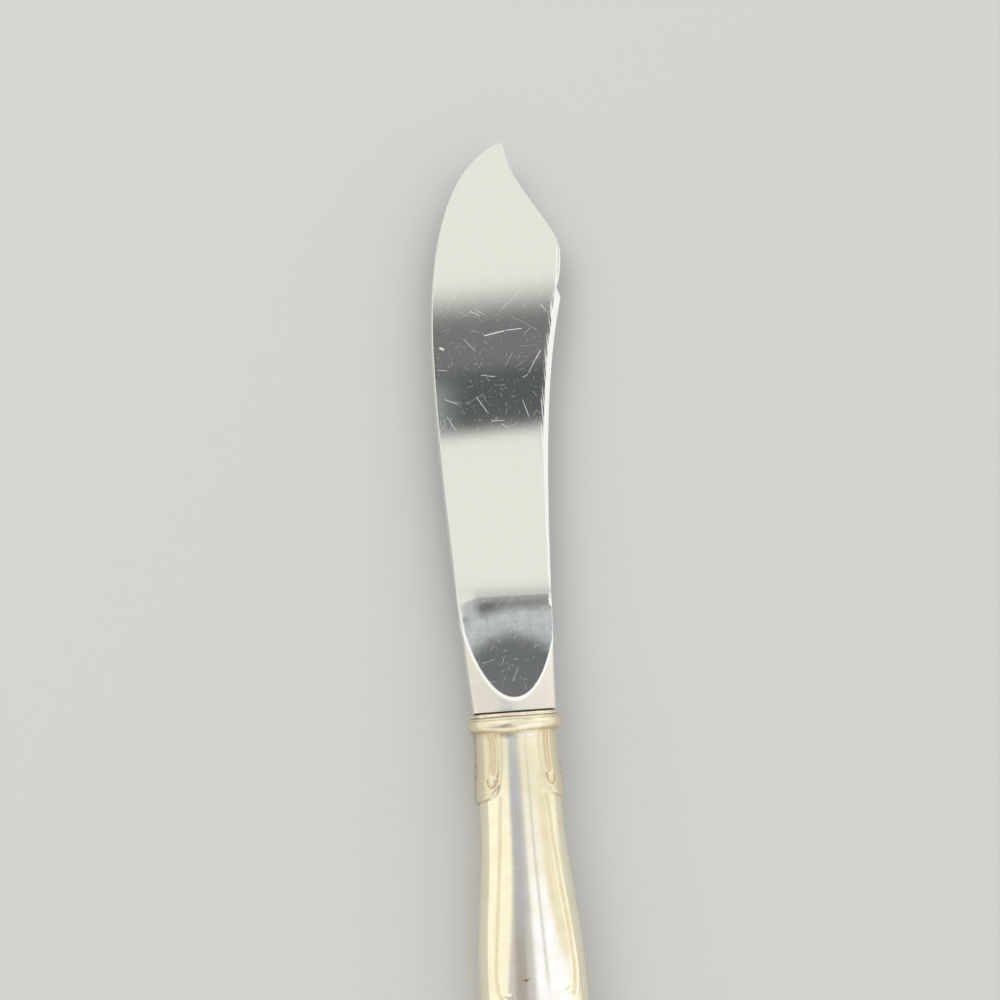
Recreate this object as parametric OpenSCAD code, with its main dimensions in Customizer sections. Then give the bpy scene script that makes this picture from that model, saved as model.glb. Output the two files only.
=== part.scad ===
// Butter knife with a hollow handle, lying on its side.
// The blade points along +Y, its spine faces +X, and the handle rests on Z = 0.

/* [Blade] */
// Length of the blade from the shoulder to the tip
blade_len = 92; // [80:0.5:110]
// Width of the blade at the shoulder
shoulder_w = 11.4; // [9:0.1:12]
// Reach of the cutting edge from the handle axis at the belly
belly_reach = 8.7; // [7:0.1:11]
// Distance from the shoulder to the fullest part of the belly
belly_y = 53; // [45:0.5:60]
// Distance of the tip from the handle axis, towards the spine
tip_side = 4.2; // [2:0.1:6]
// Radius of the blunt tip
tip_r = 0.9; // [0.6:0.1:1.5]
// Reach of the spine's hump from the handle axis
hump_reach = 12.9; // [10:0.1:15]
// Distance from the tip back to the crest of the hump
hump_back = 20.5; // [18:0.5:26]
// Distance from the crest of the hump back to the notch
notch_back = 7; // [4:0.1:9]
// Depth of the notch below the hump
notch_depth = 1.2; // [0.6:0.1:1.8]
// Height of the small wing behind the notch
wing_rise = 0.5; // [0.2:0.1:1]
// Distance from the notch back to the wing
wing_back = 1.8; // [1:0.1:2.5]
// Thickness of the bolster at its crown
bolster_t = 6.4; // [5.6:0.1:7.2]
// Crown radius of the bolster across the shoulder
crown_r = 11.5; // [8:0.1:14]
// Growth of the crown radius for each millimetre along the blade
crown_growth = 0.06; // [0.02:0.01:0.3]
// Distance from the shoulder to the foot of the flat grind
grind_start = 1.6; // [0.8:0.1:4]
// Radius of the hollow where the grind runs out
plunge_r = 98; // [70:1:140]
// Angle at which the hollow meets the flat
plunge_angle = 6.2; // [2:0.1:9]
// Thickness of the flat at the heel
heel_t = 1.8; // [1.4:0.1:2.4]
// Thickness of the flat at the tip
tip_t = 1; // [0.8:0.1:1.4]
// Thickness left along the cutting edge
edge_t = 0.5; // [0.3:0.1:0.8]
// Thickness left along the spine
spine_t = 0.8; // [0.5:0.1:1]
// Sideways run of the edge bevel for each millimetre of its rise
bevel_run = 0.8; // [0.4:0.1:1.2]

/* [Tang] */
// Length of the tang behind the shoulder
tang_len = 32; // [20:1:45]
// Width of the tang at the shoulder
tang_w = 5; // [3.5:0.1:6]
// Width of the tang at its end
tang_end_w = 3.6; // [2.5:0.1:5]
// Thickness of the tang
tang_t = 2.6; // [1.8:0.1:3.2]
// Depth of the notches that key the tang into the cement
key_depth = 0.6; // [0.3:0.1:0.9]

/* [Handle] */
// Length of the handle from the shoulder to its end
handle_len = 90; // [80:1:110]
// Width of the neck
neck_w = 10.8; // [10:0.1:12]
// Thickness of the neck
neck_t = 8.2; // [7.4:0.1:9]
// Distance from the shoulder to where the neck begins to widen
neck_back = 12; // [10:0.5:16]
// Width of the swell
swell_w = 13.3; // [12:0.1:15]
// Thickness of the swell
swell_t = 8.9; // [8:0.1:9.8]
// Distance from the shoulder to the swell
swell_back = 32; // [26:0.5:36]
// Width of the waist
waist_w = 12.7; // [11:0.1:14]
// Thickness of the waist
waist_t = 8.5; // [7.6:0.1:9.4]
// Distance from the shoulder to the waist
waist_back = 46; // [40:0.5:54]
// Width of the rounded end
pommel_w = 16.6; // [14:0.1:20]
// Thickness of the rounded end
pommel_t = 9.5; // [8.6:0.1:11]
// Length of the rounded end behind its widest part
pommel_len = 14; // [10:0.5:18]
// Thickness of the stamped sheet
wall = 0.45; // [0.35:0.05:0.7]
// Depth to which use has worn the bead and the rounded end flat, where the knife lies on a table
wear_depth = 0.05; // [0.02:0.01:0.1]

/* [Collar and ornament] */
// Width across the bead at the mouth
bead_w = 12.7; // [12:0.1:14]
// Thickness across the bead at the mouth
bead_t = 9.5; // [8.8:0.1:10.6]
// Length of the bead along the handle
bead_len = 2.3; // [1.6:0.1:3]
// Length of the lappets behind the bead
lappet_len = 8.4; // [6:0.1:10]
// Height of the lappets at their ends
lappet_rise = 0.5; // [0.2:0.05:0.6]
// Place of the lappets' inner border, as a share of the half width
lappet_border = 0.5; // [0.4:0.01:0.6]
// Place of the inner thread groove, as a share of the half width
thread_in = 0.5; // [0.42:0.01:0.54]
// Place of the outer thread groove, as a share of the half width
thread_out = 0.68; // [0.64:0.01:0.8]
// Depth of the thread grooves
thread_depth = 0.16; // [0.05:0.01:0.2]

/* [Mouth and joints] */
// Gap between the shoulder and the mouth plate, filled by cement
shoulder_gap = 0.2; // [0.1:0.05:0.4]
// Thickness of the mouth plate
plate_t = 0.45; // [0.3:0.05:0.8]
// Depth of the mouth plate's spigot inside the shells
spigot_len = 1; // [0.6:0.1:1.6]
// Inset of the mouth plate's edge from the front rim of the shells
plate_inset = 0.15; // [0.05:0.05:0.3]
// Clearance round the spigot
spigot_clear = 0.08; // [0.04:0.01:0.15]
// Clearance between the tang and the slot in the mouth plate
slot_clear = 0.35; // [0.2:0.05:0.5]
// Thickness of the solder between the shells
seam_t = 0.12; // [0.06:0.02:0.2]
// Thickness of the solder behind the mouth plate
mouth_solder_t = 0.1; // [0.06:0.02:0.2]
// Clearance between the cement and the shells
cement_clear = 0.1; // [0.05:0.05:0.3]
// Length of the handle end that the cement leaves empty
cement_short = 10; // [4:0.5:16]

/* [Hidden] */

// Roundness of the handle's cross section, where 2 is an ellipse
section_power = 2.2;
// Overlap that joins the solids of one piece
join = 0.6;
// Inset of the squeezed-out cement from the border of the shoulder
collar_inset = 0.3;
// Spare height by which the blade's bevelled blank stands above the grind
bevel_spare = 0.3;
// Widest that the bevel's shape may reach in from the outline
bevel_limit = 1.4;

// Half thicknesses of the blade from its middle plane
crown_h = bolster_t / 2;
heel_h = heel_t / 2;
tip_h = tip_t / 2;
// The hollow is an arc that rises from the flat to the crown, seen from the side
plunge_centre_h = heel_h + plunge_r * cos(plunge_angle);
plunge_reach = sqrt(pow(plunge_r, 2) - pow(plunge_centre_h - crown_h, 2));
plunge_centre = [grind_start + plunge_reach, plunge_centre_h];
// Where the hollow meets the flat, and how the flat thins from there to the tip
plunge_end = plunge_centre.x - plunge_r * sin(plunge_angle);
grind_slope = (heel_h - tip_h) / (blade_len - plunge_end);

// Points that the curves of the blade's outline join
shoulder = shoulder_w / 2;
tip_centre = [tip_side, blade_len - tip_r];
hump = [hump_reach, blade_len - hump_back];
notch = [hump_reach - notch_depth, hump.y - notch_back];
wing = [notch.x + wing_rise, notch.y - wing_back];

// Handles of the outline's curves, as shares of the stretch that each one shapes
edge_flare = [0.42, 0.26];
edge_fill = 0.68;
belly_fill = 0.38;
spine_flare = [0.22, 0.48];
spine_fill = [0.34, 0.74];
// Handles near the tip, the hump and the notch, in millimetres
tip_sweep = [10, 5.8];
tip_pull = [1, -7];
hump_pull = [-0.1, 4.5];
hump_fall = [0, -2.8];
notch_pull = [0.65, 1.7];
// Notches of the tang, as shares of its length
key_places = [0.45, 0.7];

// Reach to each side of the handle axis, which sets the middle of the object
left_reach = max(belly_reach, pommel_w / 2);
right_reach = max(hump_reach, pommel_w / 2);
middle = [(right_reach - left_reach) / 2, (blade_len - handle_len) / 2];
// Height of the handle axis above the worn flats that the knife lies on
rest_h = max(bead_t, pommel_t) / 2 - wear_depth;

// Place of the bead's crest, and how far its front curve would reach if it were not cut off
bead_crest_share = 0.36;
bead_front_share = 0.5;

// Distances behind the shoulder where the pieces and features of the handle begin
plate_back = shoulder_gap;
solder_back = plate_back + plate_t;
shell_back = solder_back + mouth_solder_t;
spigot_end = shell_back + spigot_len;
bead_crest = shell_back + bead_crest_share * bead_len;
lappet_start = shell_back + bead_len;
lappet_end = lappet_start + lappet_len;
pommel_back = handle_len - pommel_len;
cement_end = handle_len - cement_short;

// Rounded end of a lappet: its length, how far its border turns out, and its height at the root
lappet_round = 2.6;
lappet_curl = 0.3;
lappet_root = 0.2;
// Fillet behind the bead
cove_len = 2;
cove_rise = 0.35;
// Half width of a thread groove, as a share of the half width
groove_half = 0.045;

// A smooth step from 0 to 1
function ease(t) = t <= 0 ? 0 : t >= 1 ? 1 : (1 - cos(180 * t)) / 2;
function mix(a, b, t) = a + (b - a) * t;
function unit(v) = v / norm(v);
// A round groove, 1 in its middle and 0 at its borders
function dip(x, half_width) = abs(x) >= half_width ? 0 : (1 + cos(180 * x / half_width)) / 2;
// A point on the cubic curve between two ends, with two handles
function bezier_point(a, b, c, d, t) =
    pow(1 - t, 3) * a + 3 * t * pow(1 - t, 2) * b + 3 * t * t * (1 - t) * c + pow(t, 3) * d;
// The curve's points, without its first end
function bezier(a, b, c, d, steps) = [for (i = [1:steps]) bezier_point(a, b, c, d, i / steps)];
// Two triangles that fill four corners
function quad(a, b, c, d) = [[a, b, c], [a, c, d]];

// The cutting edge from the shoulder to the tip, with as many points as the spine
tip_arc_start = tip_centre + tip_r * [cos(120), sin(120)];
edge_curve = concat(
    [[-shoulder, 0]],
    bezier([-shoulder, 0], [mix(-shoulder, -belly_reach, edge_flare.x), edge_flare.y * belly_y],
        [-belly_reach, edge_fill * belly_y], [-belly_reach, belly_y], 15),
    bezier([-belly_reach, belly_y], [-belly_reach, mix(belly_y, blade_len, belly_fill)],
        tip_arc_start - tip_sweep, tip_arc_start, 18)
);
// The spine from the shoulder over the wing, the notch and the hump to the tip
spine_curve = concat(
    [[shoulder, 0]],
    bezier([shoulder, 0], [mix(shoulder, wing.x, spine_flare.x), spine_flare.y * wing.y],
        [mix(shoulder, wing.x, spine_fill.x), spine_fill.y * wing.y], wing, 14),
    bezier(wing, wing + [0, wing_back / 3], notch - [0, wing_back / 3], notch, 3),
    bezier(notch, notch + notch_pull, hump + hump_fall, hump, 4),
    bezier(hump, hump + hump_pull, tip_centre + tip_pull, tip_centre + [tip_r, 0], 9),
    [for (turn = [30:30:90]) tip_centre + tip_r * [cos(turn), sin(turn)]]
);
outline = concat(edge_curve, [for (i = [len(spine_curve) - 1:-1:0]) spine_curve[i]]);
outline_count = len(outline);

// Half thickness of the ground blade at a distance from the shoulder
function ground_h(y) =
    y > plunge_end
        ? heel_h - (y - plunge_end) * grind_slope
        : min(crown_h, plunge_centre.y - sqrt(pow(plunge_r, 2) - pow(plunge_centre.x - y, 2)));
// The direction from a point of the outline into the blade
function inward(i) =
    i == 0 ? [1, 0]
    : i == outline_count - 1 ? [-1, 0]
    : let (along = unit(outline[i + 1] - outline[i - 1])) [along.y, -along.x];
// Half the thickness left at a point of the outline
function border_h(i) = i < len(edge_curve) ? edge_t / 2 : spine_t / 2;
function bevel_top(i) = ground_h(outline[i].y) + bevel_spare;
function bevel_point(i) =
    outline[i] + inward(i) * min(bevel_limit, bevel_run * (bevel_top(i) - border_h(i)));
function at_height(p, z) = [p.x, p.y, z];

// The blade's blank, with bevels that thin it to the cutting edge and the spine
module bevelled_blank() {
    n = outline_count;
    points = concat(
        [for (i = [0:n - 1]) at_height(bevel_point(i), -bevel_top(i))],
        [for (i = [0:n - 1]) at_height(outline[i], -border_h(i))],
        [for (i = [0:n - 1]) at_height(outline[i], border_h(i))],
        [for (i = [0:n - 1]) at_height(bevel_point(i), bevel_top(i))]
    );
    sides = [
        for (ring = [0:2], i = [0:n - 1])
            let (a = ring * n + i, b = ring * n + (i + 1) % n)
            each quad(a, b, b + n, a + n)
    ];
    lids = [
        for (i = [0:n / 2 - 2])
            let (j = n - 1 - i, top = 3 * n)
            each concat(quad(i, j, j - 1, i + 1), quad(top + i, top + i + 1, top + j - 1, top + j))
    ];
    polyhedron(points, concat(sides, lids), convexity = 6);
}

// Space under the bolster's crown, a cone that flattens towards the blade
module crowned() {
    apex_back = crown_r / crown_growth;
    cone_len = apex_back + blade_len;
    translate([0, -apex_back, crown_h]) rotate([-90 - atan(crown_growth), 0, 0])
        cylinder(h = cone_len, r1 = 0, r2 = cone_len * crown_growth);
    translate([-blade_len / 2, plunge_end, -bolster_t]) cube([blade_len, blade_len, 2 * bolster_t]);
}

// Side view of the flat grind, and of the hollow where it runs out at the bolster
module grind_view() {
    beyond = blade_len + tip_r;
    difference() {
        translate([0, -bolster_t]) square([beyond, 2 * bolster_t]);
        intersection() {
            translate(plunge_centre) circle(r = plunge_r, $fn = 180);
            translate([plunge_end - plunge_r, 0]) square(plunge_r);
        }
        polygon([
            [plunge_end, heel_h], [plunge_end, 2 * bolster_t], [beyond, 2 * bolster_t],
            [beyond, heel_h - (beyond - plunge_end) * grind_slope]
        ]);
    }
}

// Tapered tang with round notches that the cement fills
module tang() {
    difference() {
        linear_extrude(tang_t, center = true) polygon([
            [-tang_w / 2, join], [-tang_end_w / 2, -tang_len],
            [tang_end_w / 2, -tang_len], [tang_w / 2, join]
        ]);
        for (share = key_places, side = [-1, 1])
            translate([side * mix(tang_w, tang_end_w, share) / 2, -share * tang_len, 0])
                cylinder(h = 2 * tang_t, r = key_depth, center = true, $fn = 32);
    }
}

// A handle size that eases from the neck through swell and waist to the rounded end
function along_handle(d, neck, swell, waist, pommel) =
    d < swell_back ? mix(neck, swell, ease((d - neck_back) / (swell_back - neck_back)))
    : d < waist_back ? mix(swell, waist, ease((d - swell_back) / (waist_back - swell_back)))
    : mix(waist, pommel, ease((d - waist_back) / (pommel_back - waist_back)));
// How far along the rounded end a place is, where the end starts at 0 and closes at 1
function end_share(d, inset) = max(0, (d - pommel_back) / (pommel_len - inset));
function end_round(d, inset) = sqrt(max(0, 1 - pow(end_share(d, inset), 2)));
// Half width and half thickness of the body, a distance inside its skin
function body_half_w(d, inset) =
    (along_handle(d, neck_w, swell_w, waist_w, pommel_w) / 2 - inset) * end_round(d, inset);
function body_half_t(d, inset) =
    (along_handle(d, neck_t, swell_t, waist_t, pommel_t) / 2 - inset) * end_round(d, inset);
// Share of the bead's height at a place, with its front cut off square
function bead_share(d) =
    let (reach = d < bead_crest ? bead_front_share * bead_len : lappet_start - bead_crest)
    sqrt(max(0, 1 - pow((d - bead_crest) / reach, 2)));
function cove(d) =
    d < lappet_start ? 0 : cove_rise * pow(max(0, 1 - (d - lappet_start) / cove_len), 2);
function skin_half_w(d) =
    body_half_w(d, 0) + bead_share(d) * (bead_w - neck_w) / 2 + cove(d);
function skin_half_t(d) =
    body_half_t(d, 0) + bead_share(d) * (bead_t - neck_t) / 2 + cove(d);

// Places across the handle from seam to seam, as shares of the half width
groove_middle = (thread_in + thread_out) / 2;
inner_border = thread_in - groove_half;
outer_border = thread_out + groove_half;
half_columns = concat(
    [inner_border / 3, inner_border * 2 / 3, inner_border, thread_in, thread_in + groove_half],
    [groove_middle, thread_out - groove_half, thread_out, outer_border],
    [for (share = [0.4, 0.7, 0.88, 0.97, 1]) mix(outer_border, 1, share)]
);
columns = concat([for (i = [len(half_columns) - 1:-1:0]) -half_columns[i]], [0], half_columns);
column_count = len(columns);
core_columns = [-1, -0.97, -0.85, -0.6, -0.3, 0, 0.3, 0.6, 0.85, 0.97, 1];

// Height of the round cross section at a share of its half width
function arch(s) = pow(max(0, 1 - pow(abs(s), section_power)), 1 / section_power);
function section_point(s, a, b) = [a * s, seam_t / 2 + (b - seam_t / 2) * arch(s)];
function section_normal(s, a, b) =
    unit([sign(s) * pow(abs(s), section_power - 1) / a, pow(arch(s), section_power - 1) / b]);
// A closed cross section with both halves
function oval(a, b, places) = concat(
    [for (s = places) section_point(s, a, b)],
    [for (i = [len(places) - 1:-1:0]) let (p = section_point(places[i], a, b)) [p.x, -p.y]]
);

// Share of a lappet's full height, which grows towards its rounded end
function lappet_share(s, d) =
    let (
        turn = min(1, max(0, (d - lappet_end + lappet_round) / lappet_round)),
        border = lappet_border + lappet_curl * (1 - sqrt(1 - turn * turn)),
        inside = ease((abs(s) - border) / (2 * groove_half)),
        growth = mix(lappet_root, 1, ease((d - lappet_start) / (lappet_len - lappet_round)))
    )
    d < lappet_start || d > lappet_end ? 0 : inside * growth;
// Threads follow the outline of the handle at a constant share of its width
function thread_share(s, d) =
    let (
        e = end_share(d, 0),
        ring = sqrt(s * s * (1 - e * e) + e * e),
        grooves = dip(ring - thread_in, groove_half) + dip(ring - thread_out, groove_half)
    )
    grooves * ease((d - lappet_end) / cove_len);
function relief(s, d) = lappet_rise * lappet_share(s, d) - thread_depth * thread_share(s, d);
function skin_point(s, d) =
    let (
        a = skin_half_w(d),
        b = skin_half_t(d),
        unworn = section_point(s, a, b) + relief(s, d) * section_normal(s, a, b)
    )
    [unworn.x, min(unworn.y, rest_h)];
function inner_point(s, d) = section_point(s, body_half_w(d, wall), body_half_t(d, wall));

// Places along the handle, from the mouth to the last ring before the end closes
bead_rows = [for (share = [0, 0.1, 0.22, 0.36, 0.5, 0.66, 0.8, 0.92]) shell_back + share * bead_len];
lappet_rows = [for (i = [0:14]) lappet_start + lappet_len * i / 14];
foot_rows = [for (gap = [0.05, 0.7, 1.5]) lappet_end + gap];
body_start = lappet_end + cove_len + 1;
body_rows = [for (i = [0:20]) mix(body_start, pommel_back, i / 20)];
end_turns = [for (turn = [10:10:80]) turn];
straight_rows = concat(bead_rows, lappet_rows, foot_rows, body_rows);
skin_rows = concat(straight_rows, [for (turn = end_turns) pommel_back + pommel_len * sin(turn)]);
inner_rows = concat(straight_rows, [for (turn = end_turns) pommel_back + (pommel_len - wall) * sin(turn)]);
row_count = len(skin_rows);

// The upper half of the handle: skin, inside, rims along the seam, and mouth
module half_shell() {
    c = column_count;
    inside = row_count * c;
    last = (row_count - 1) * c;
    skin_end = 2 * inside;
    inner_end = skin_end + 1;
    points = concat(
        [for (d = skin_rows, s = columns) let (p = skin_point(s, d)) [p.x, -d, p.y]],
        [for (d = inner_rows, s = columns) let (p = inner_point(s, d)) [p.x, -d, p.y]],
        [[0, -handle_len, seam_t / 2], [0, wall - handle_len, seam_t / 2]]
    );
    walls = [
        for (i = [0:row_count - 2], j = [0:c - 2])
            let (a = i * c + j, b = a + inside)
            each concat(quad(a, a + 1, a + c + 1, a + c), quad(b, b + c, b + c + 1, b + 1))
    ];
    rims = [
        for (i = [0:row_count - 2])
            let (a = i * c, b = a + c - 1)
            each concat(
                quad(a, a + c, inside + a + c, inside + a),
                quad(b + c, b, inside + b, inside + b + c)
            )
    ];
    mouth = [for (j = [0:c - 2]) each quad(j + 1, j, inside + j, inside + j + 1)];
    closing = [
        for (j = [last:last + c - 2])
            each [[j, j + 1, skin_end], [inside + j, inner_end, inside + j + 1]]
    ];
    end_rims = concat(
        quad(last, skin_end, inner_end, inside + last),
        quad(skin_end, last + c - 1, inside + last + c - 1, inner_end)
    );
    polyhedron(points, concat(walls, rims, mouth, closing, end_rims), convexity = 8);
}

// Extrudes a cross section along the handle, away from the blade
module run_back(from, length) {
    translate([0, -from, 0]) rotate([90, 0, 0]) linear_extrude(length) children();
}

module slot_view() {
    square([tang_w + 2 * slot_clear, tang_t + 2 * slot_clear], center = true);
}

module plate_view() {
    a = skin_half_w(shell_back) - plate_inset;
    b = skin_half_t(shell_back) - plate_inset;
    polygon(oval(a, b, columns));
}

module mouth_view(clear) {
    a = body_half_w(shell_back, wall + clear);
    b = body_half_t(shell_back, wall + clear);
    polygon(oval(a, b, columns));
}

// Cement that fills the shells behind the mouth plate
module cement_core() {
    rows = [for (i = [0:24]) mix(spigot_end, cement_end, i / 24)];
    inset = wall + cement_clear;
    rings = [for (d = rows) oval(body_half_w(d, inset), body_half_t(d, inset), core_columns)];
    n = len(rings[0]);
    points = [for (i = [0:len(rows) - 1], p = rings[i]) [p.x, -rows[i], p.y]];
    sides = [
        for (i = [0:len(rows) - 2], j = [0:n - 1])
            let (a = i * n + j, b = i * n + (j + 1) % n)
            each quad(a, b, b + n, a + n)
    ];
    front = [for (j = [n - 1:-1:0]) j];
    back = [for (j = [0:n - 1]) (len(rows) - 1) * n + j];
    polyhedron(points, concat(sides, [front, back]), convexity = 4);
}

// Moves a piece from the handle axis and the shoulder to the origin under the object's middle
module placed() {
    translate([-middle.x, -middle.y, rest_h]) children();
}

module blade() {
    color([0.75, 0.75, 0.73]) placed() union() {
        intersection() {
            bevelled_blank();
            rotate([90, 0, 90]) linear_extrude(blade_len, center = true) intersection() {
                grind_view();
                mirror([0, 1]) grind_view();
            }
            crowned();
            mirror([0, 0, 1]) crowned();
        }
        tang();
    }
}

module handle_front_shell() {
    color([0.86, 0.83, 0.74]) placed() half_shell();
}

module handle_back_shell() {
    color([0.84, 0.81, 0.72]) placed() mirror([0, 0, 1]) half_shell();
}

module mouth_plate() {
    color([0.72, 0.64, 0.5]) placed() {
        run_back(plate_back, plate_t) difference() {
            plate_view();
            slot_view();
        }
        run_back(plate_back + plate_t / 2, spigot_end - plate_back - plate_t / 2) difference() {
            mouth_view(spigot_clear);
            slot_view();
        }
    }
}

module mouth_solder() {
    color([0.62, 0.62, 0.6]) placed() run_back(solder_back, mouth_solder_t) difference() {
        plate_view();
        mouth_view(0);
    }
}

module seam_solder() {
    skin_side = [for (d = skin_rows) [skin_point(1, d).x, -d]];
    inner_side = [for (d = inner_rows) [inner_point(1, d).x, -d]];
    edge = concat(skin_side, [[0, -handle_len]]);
    lining = concat(inner_side, [[0, wall - handle_len]]);
    n = row_count;
    color([0.66, 0.66, 0.64]) placed() linear_extrude(seam_t, center = true) polygon(concat(
        edge,
        [for (i = [n - 1:-1:0]) [-edge[i].x, edge[i].y]],
        [for (i = [0:n - 1]) [-lining[i].x, lining[i].y]],
        [for (i = [n:-1:0]) lining[i]]
    ));
}

module filler_cement() {
    color([0.2, 0.16, 0.13]) placed() difference() {
        union() {
            run_back(0, shoulder_gap) polygon(oval(shoulder - collar_inset, crown_h - collar_inset, columns));
            run_back(shoulder_gap / 2, spigot_end + join - shoulder_gap / 2) slot_view();
            cement_core();
        }
        tang();
    }
}

blade();
handle_front_shell();
handle_back_shell();
mouth_plate();
mouth_solder();
seam_solder();
filler_cement();
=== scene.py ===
"""Looks of a butter knife with a hollow silver handle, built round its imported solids."""
import logging
import math
from dataclasses import dataclass, field
from enum import Enum
from functools import partial, reduce
from typing import Optional, Sequence, Union

import bpy
import numpy as np
from mathutils import Matrix, Vector


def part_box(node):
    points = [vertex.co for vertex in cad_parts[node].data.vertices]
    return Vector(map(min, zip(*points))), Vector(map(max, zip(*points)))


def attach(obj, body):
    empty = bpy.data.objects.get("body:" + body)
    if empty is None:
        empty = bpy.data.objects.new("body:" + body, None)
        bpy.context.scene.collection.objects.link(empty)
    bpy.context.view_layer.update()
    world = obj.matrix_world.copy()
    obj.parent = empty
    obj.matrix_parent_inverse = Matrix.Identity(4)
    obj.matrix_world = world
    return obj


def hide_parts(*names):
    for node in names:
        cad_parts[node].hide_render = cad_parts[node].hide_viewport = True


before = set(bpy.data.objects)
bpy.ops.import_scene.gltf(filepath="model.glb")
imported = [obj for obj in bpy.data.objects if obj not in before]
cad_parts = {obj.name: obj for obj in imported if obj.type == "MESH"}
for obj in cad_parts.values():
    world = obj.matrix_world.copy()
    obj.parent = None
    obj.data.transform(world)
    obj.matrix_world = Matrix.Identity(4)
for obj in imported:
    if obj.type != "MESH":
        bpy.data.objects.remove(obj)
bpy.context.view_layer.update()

LOG = logging.getLogger("butter_knife")
MM = 0.001
ROOT = "root"
Pair = tuple[float, float]
Triple = tuple[float, float, float]
Four = tuple[float, float, float, float]
Run = tuple[float, float, int]
Colour = Triple


class Face(Enum):
    """The two faces of the knife, by the sign of their height."""

    FRONT = 1
    BACK = -1


class Side(Enum):
    """The two long sides of the handle, by the sign of their place across it."""

    EDGE = -1
    SPINE = 1


class Signal:
    """A node socket that takes part in Python arithmetic."""

    def __init__(self, graph: "Graph", socket: bpy.types.NodeSocket) -> None:
        """Keep the socket and the graph that it belongs to."""
        self.graph = graph
        self.socket = socket

    def other(self, name: str) -> "Signal":
        """Another output of the same node."""
        return Signal(self.graph, self.socket.node.outputs[name])

    def __add__(self, other: "Value") -> "Signal":
        """Sum."""
        return self.graph.math("ADD", self, other)

    def __radd__(self, other: "Value") -> "Signal":
        """Sum with the number first."""
        return self.graph.math("ADD", other, self)

    def __sub__(self, other: "Value") -> "Signal":
        """Difference."""
        return self.graph.math("SUBTRACT", self, other)

    def __rsub__(self, other: "Value") -> "Signal":
        """Difference with the number first."""
        return self.graph.math("SUBTRACT", other, self)

    def __mul__(self, other: "Value") -> "Signal":
        """Product."""
        return self.graph.math("MULTIPLY", self, other)

    def __rmul__(self, other: "Value") -> "Signal":
        """Product with the number first."""
        return self.graph.math("MULTIPLY", other, self)

    def __truediv__(self, other: "Value") -> "Signal":
        """Quotient."""
        return self.graph.math("DIVIDE", self, other)

    def __abs__(self) -> "Signal":
        """Size without its sign."""
        return self.graph.math("ABSOLUTE", self)


Value = Union[Signal, float, Sequence[float], str, bpy.types.ID]


class Graph:
    """A node tree that is filled by Python expressions."""

    def __init__(self, tree: bpy.types.NodeTree) -> None:
        """Keep the tree."""
        self.tree = tree

    def add(self, kind: str, settings: Optional[dict] = None, inputs: Optional[dict] = None,
            out: Union[str, int] = 0) -> Signal:
        """Add a node of any kind.

        Args:
            kind: The node's type.
            settings: Its properties, set first.
            inputs: Values or links of its sockets, by name or number.
            out: The output that is returned.

        Returns:
            The chosen output of the new node.
        """
        node = self.tree.nodes.new(kind)
        for name, value in (settings or {}).items():
            setattr(node, name, value)
        for name, value in (inputs or {}).items():
            self._feed(node.inputs[name], value)
        return Signal(self, node.outputs[out]) if len(node.outputs) else Signal(self, node.inputs[0])

    def _feed(self, socket: bpy.types.NodeSocket, value: Value) -> None:
        """Link a signal to a socket, or set a constant on it."""
        if isinstance(value, Signal):
            self.tree.links.new(value.socket, socket)
        else:
            socket.default_value = value

    def math(self, operation: str, *values: Value) -> Signal:
        """One Math node on values and signals."""
        return self.add("ShaderNodeMath", {"operation": operation}, dict(enumerate(values)))

    def vector(self, operation: str, *values: Value, out: str = "Vector") -> Signal:
        """One Vector Math node on vectors."""
        return self.add("ShaderNodeVectorMath", {"operation": operation}, dict(enumerate(values)), out)

    def scaled(self, vector: Value, factor: Value) -> Signal:
        """A vector times a number."""
        return self.add("ShaderNodeVectorMath", {"operation": "SCALE"}, {0: vector, "Scale": factor})

    def step(self, value: Value, low: float, high: float) -> Signal:
        """A smooth step from 0 at low to 1 at high."""
        return self.add("ShaderNodeMapRange", {"interpolation_type": "SMOOTHSTEP"},
                        {"Value": value, "From Min": low, "From Max": high})

    def span(self, value: Signal, low: float, high: float, soft: float) -> Signal:
        """1 between low and high, with soft borders outside them."""
        return self.step(value, low - soft, low) * (1 - self.step(value, high, high + soft))

    def mix(self, factor: Value, first: Value, second: Value) -> Signal:
        """A colour between two colours."""
        rgba = [(*c, 1.0) if isinstance(c, tuple) else c for c in (first, second)]
        return self.add("ShaderNodeMix", {"data_type": "RGBA"}, {0: factor, 6: rgba[0], 7: rgba[1]}, 2)

    def noise(self, place: Signal, scale: float, detail: float = 2.0, rough: float = 0.5) -> Signal:
        """Smooth noise from 0 to 1."""
        return self.add("ShaderNodeTexNoise", None,
                        {"Vector": place, "Scale": scale, "Detail": detail, "Roughness": rough})

    def streaks(self, place: Signal, scale: Triple, detail: float, rough: float = 0.5) -> Signal:
        """Smooth noise from 0 to 1 that is drawn out along some axes."""
        return self.noise(self.vector("MULTIPLY", place, scale), 1.0, detail, rough)

    def split(self, vector: Signal) -> tuple[Signal, Signal, Signal]:
        """The three parts of a vector."""
        x = self.add("ShaderNodeSeparateXYZ", None, {0: vector}, "X")
        return x, x.other("Y"), x.other("Z")

    def highest(self, signals: Sequence[Signal]) -> Signal:
        """The highest of several signals."""
        return reduce(partial(self.math, "MAXIMUM"), signals)

    def bump(self, height: Signal) -> Signal:
        """A normal that leans with a height in metres."""
        return self.add("ShaderNodeBump", None, {"Strength": 1.0, "Distance": 1.0, "Height": height})

    def finish_layers(self, *names: str) -> tuple[Signal, ...]:
        """Marks of use and painted light, as they are kept on the points of a piece."""
        kind = "ShaderNodeAttribute"
        return tuple(self.add(kind, {"attribute_name": name}, None, "Fac") for name in names)


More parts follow.
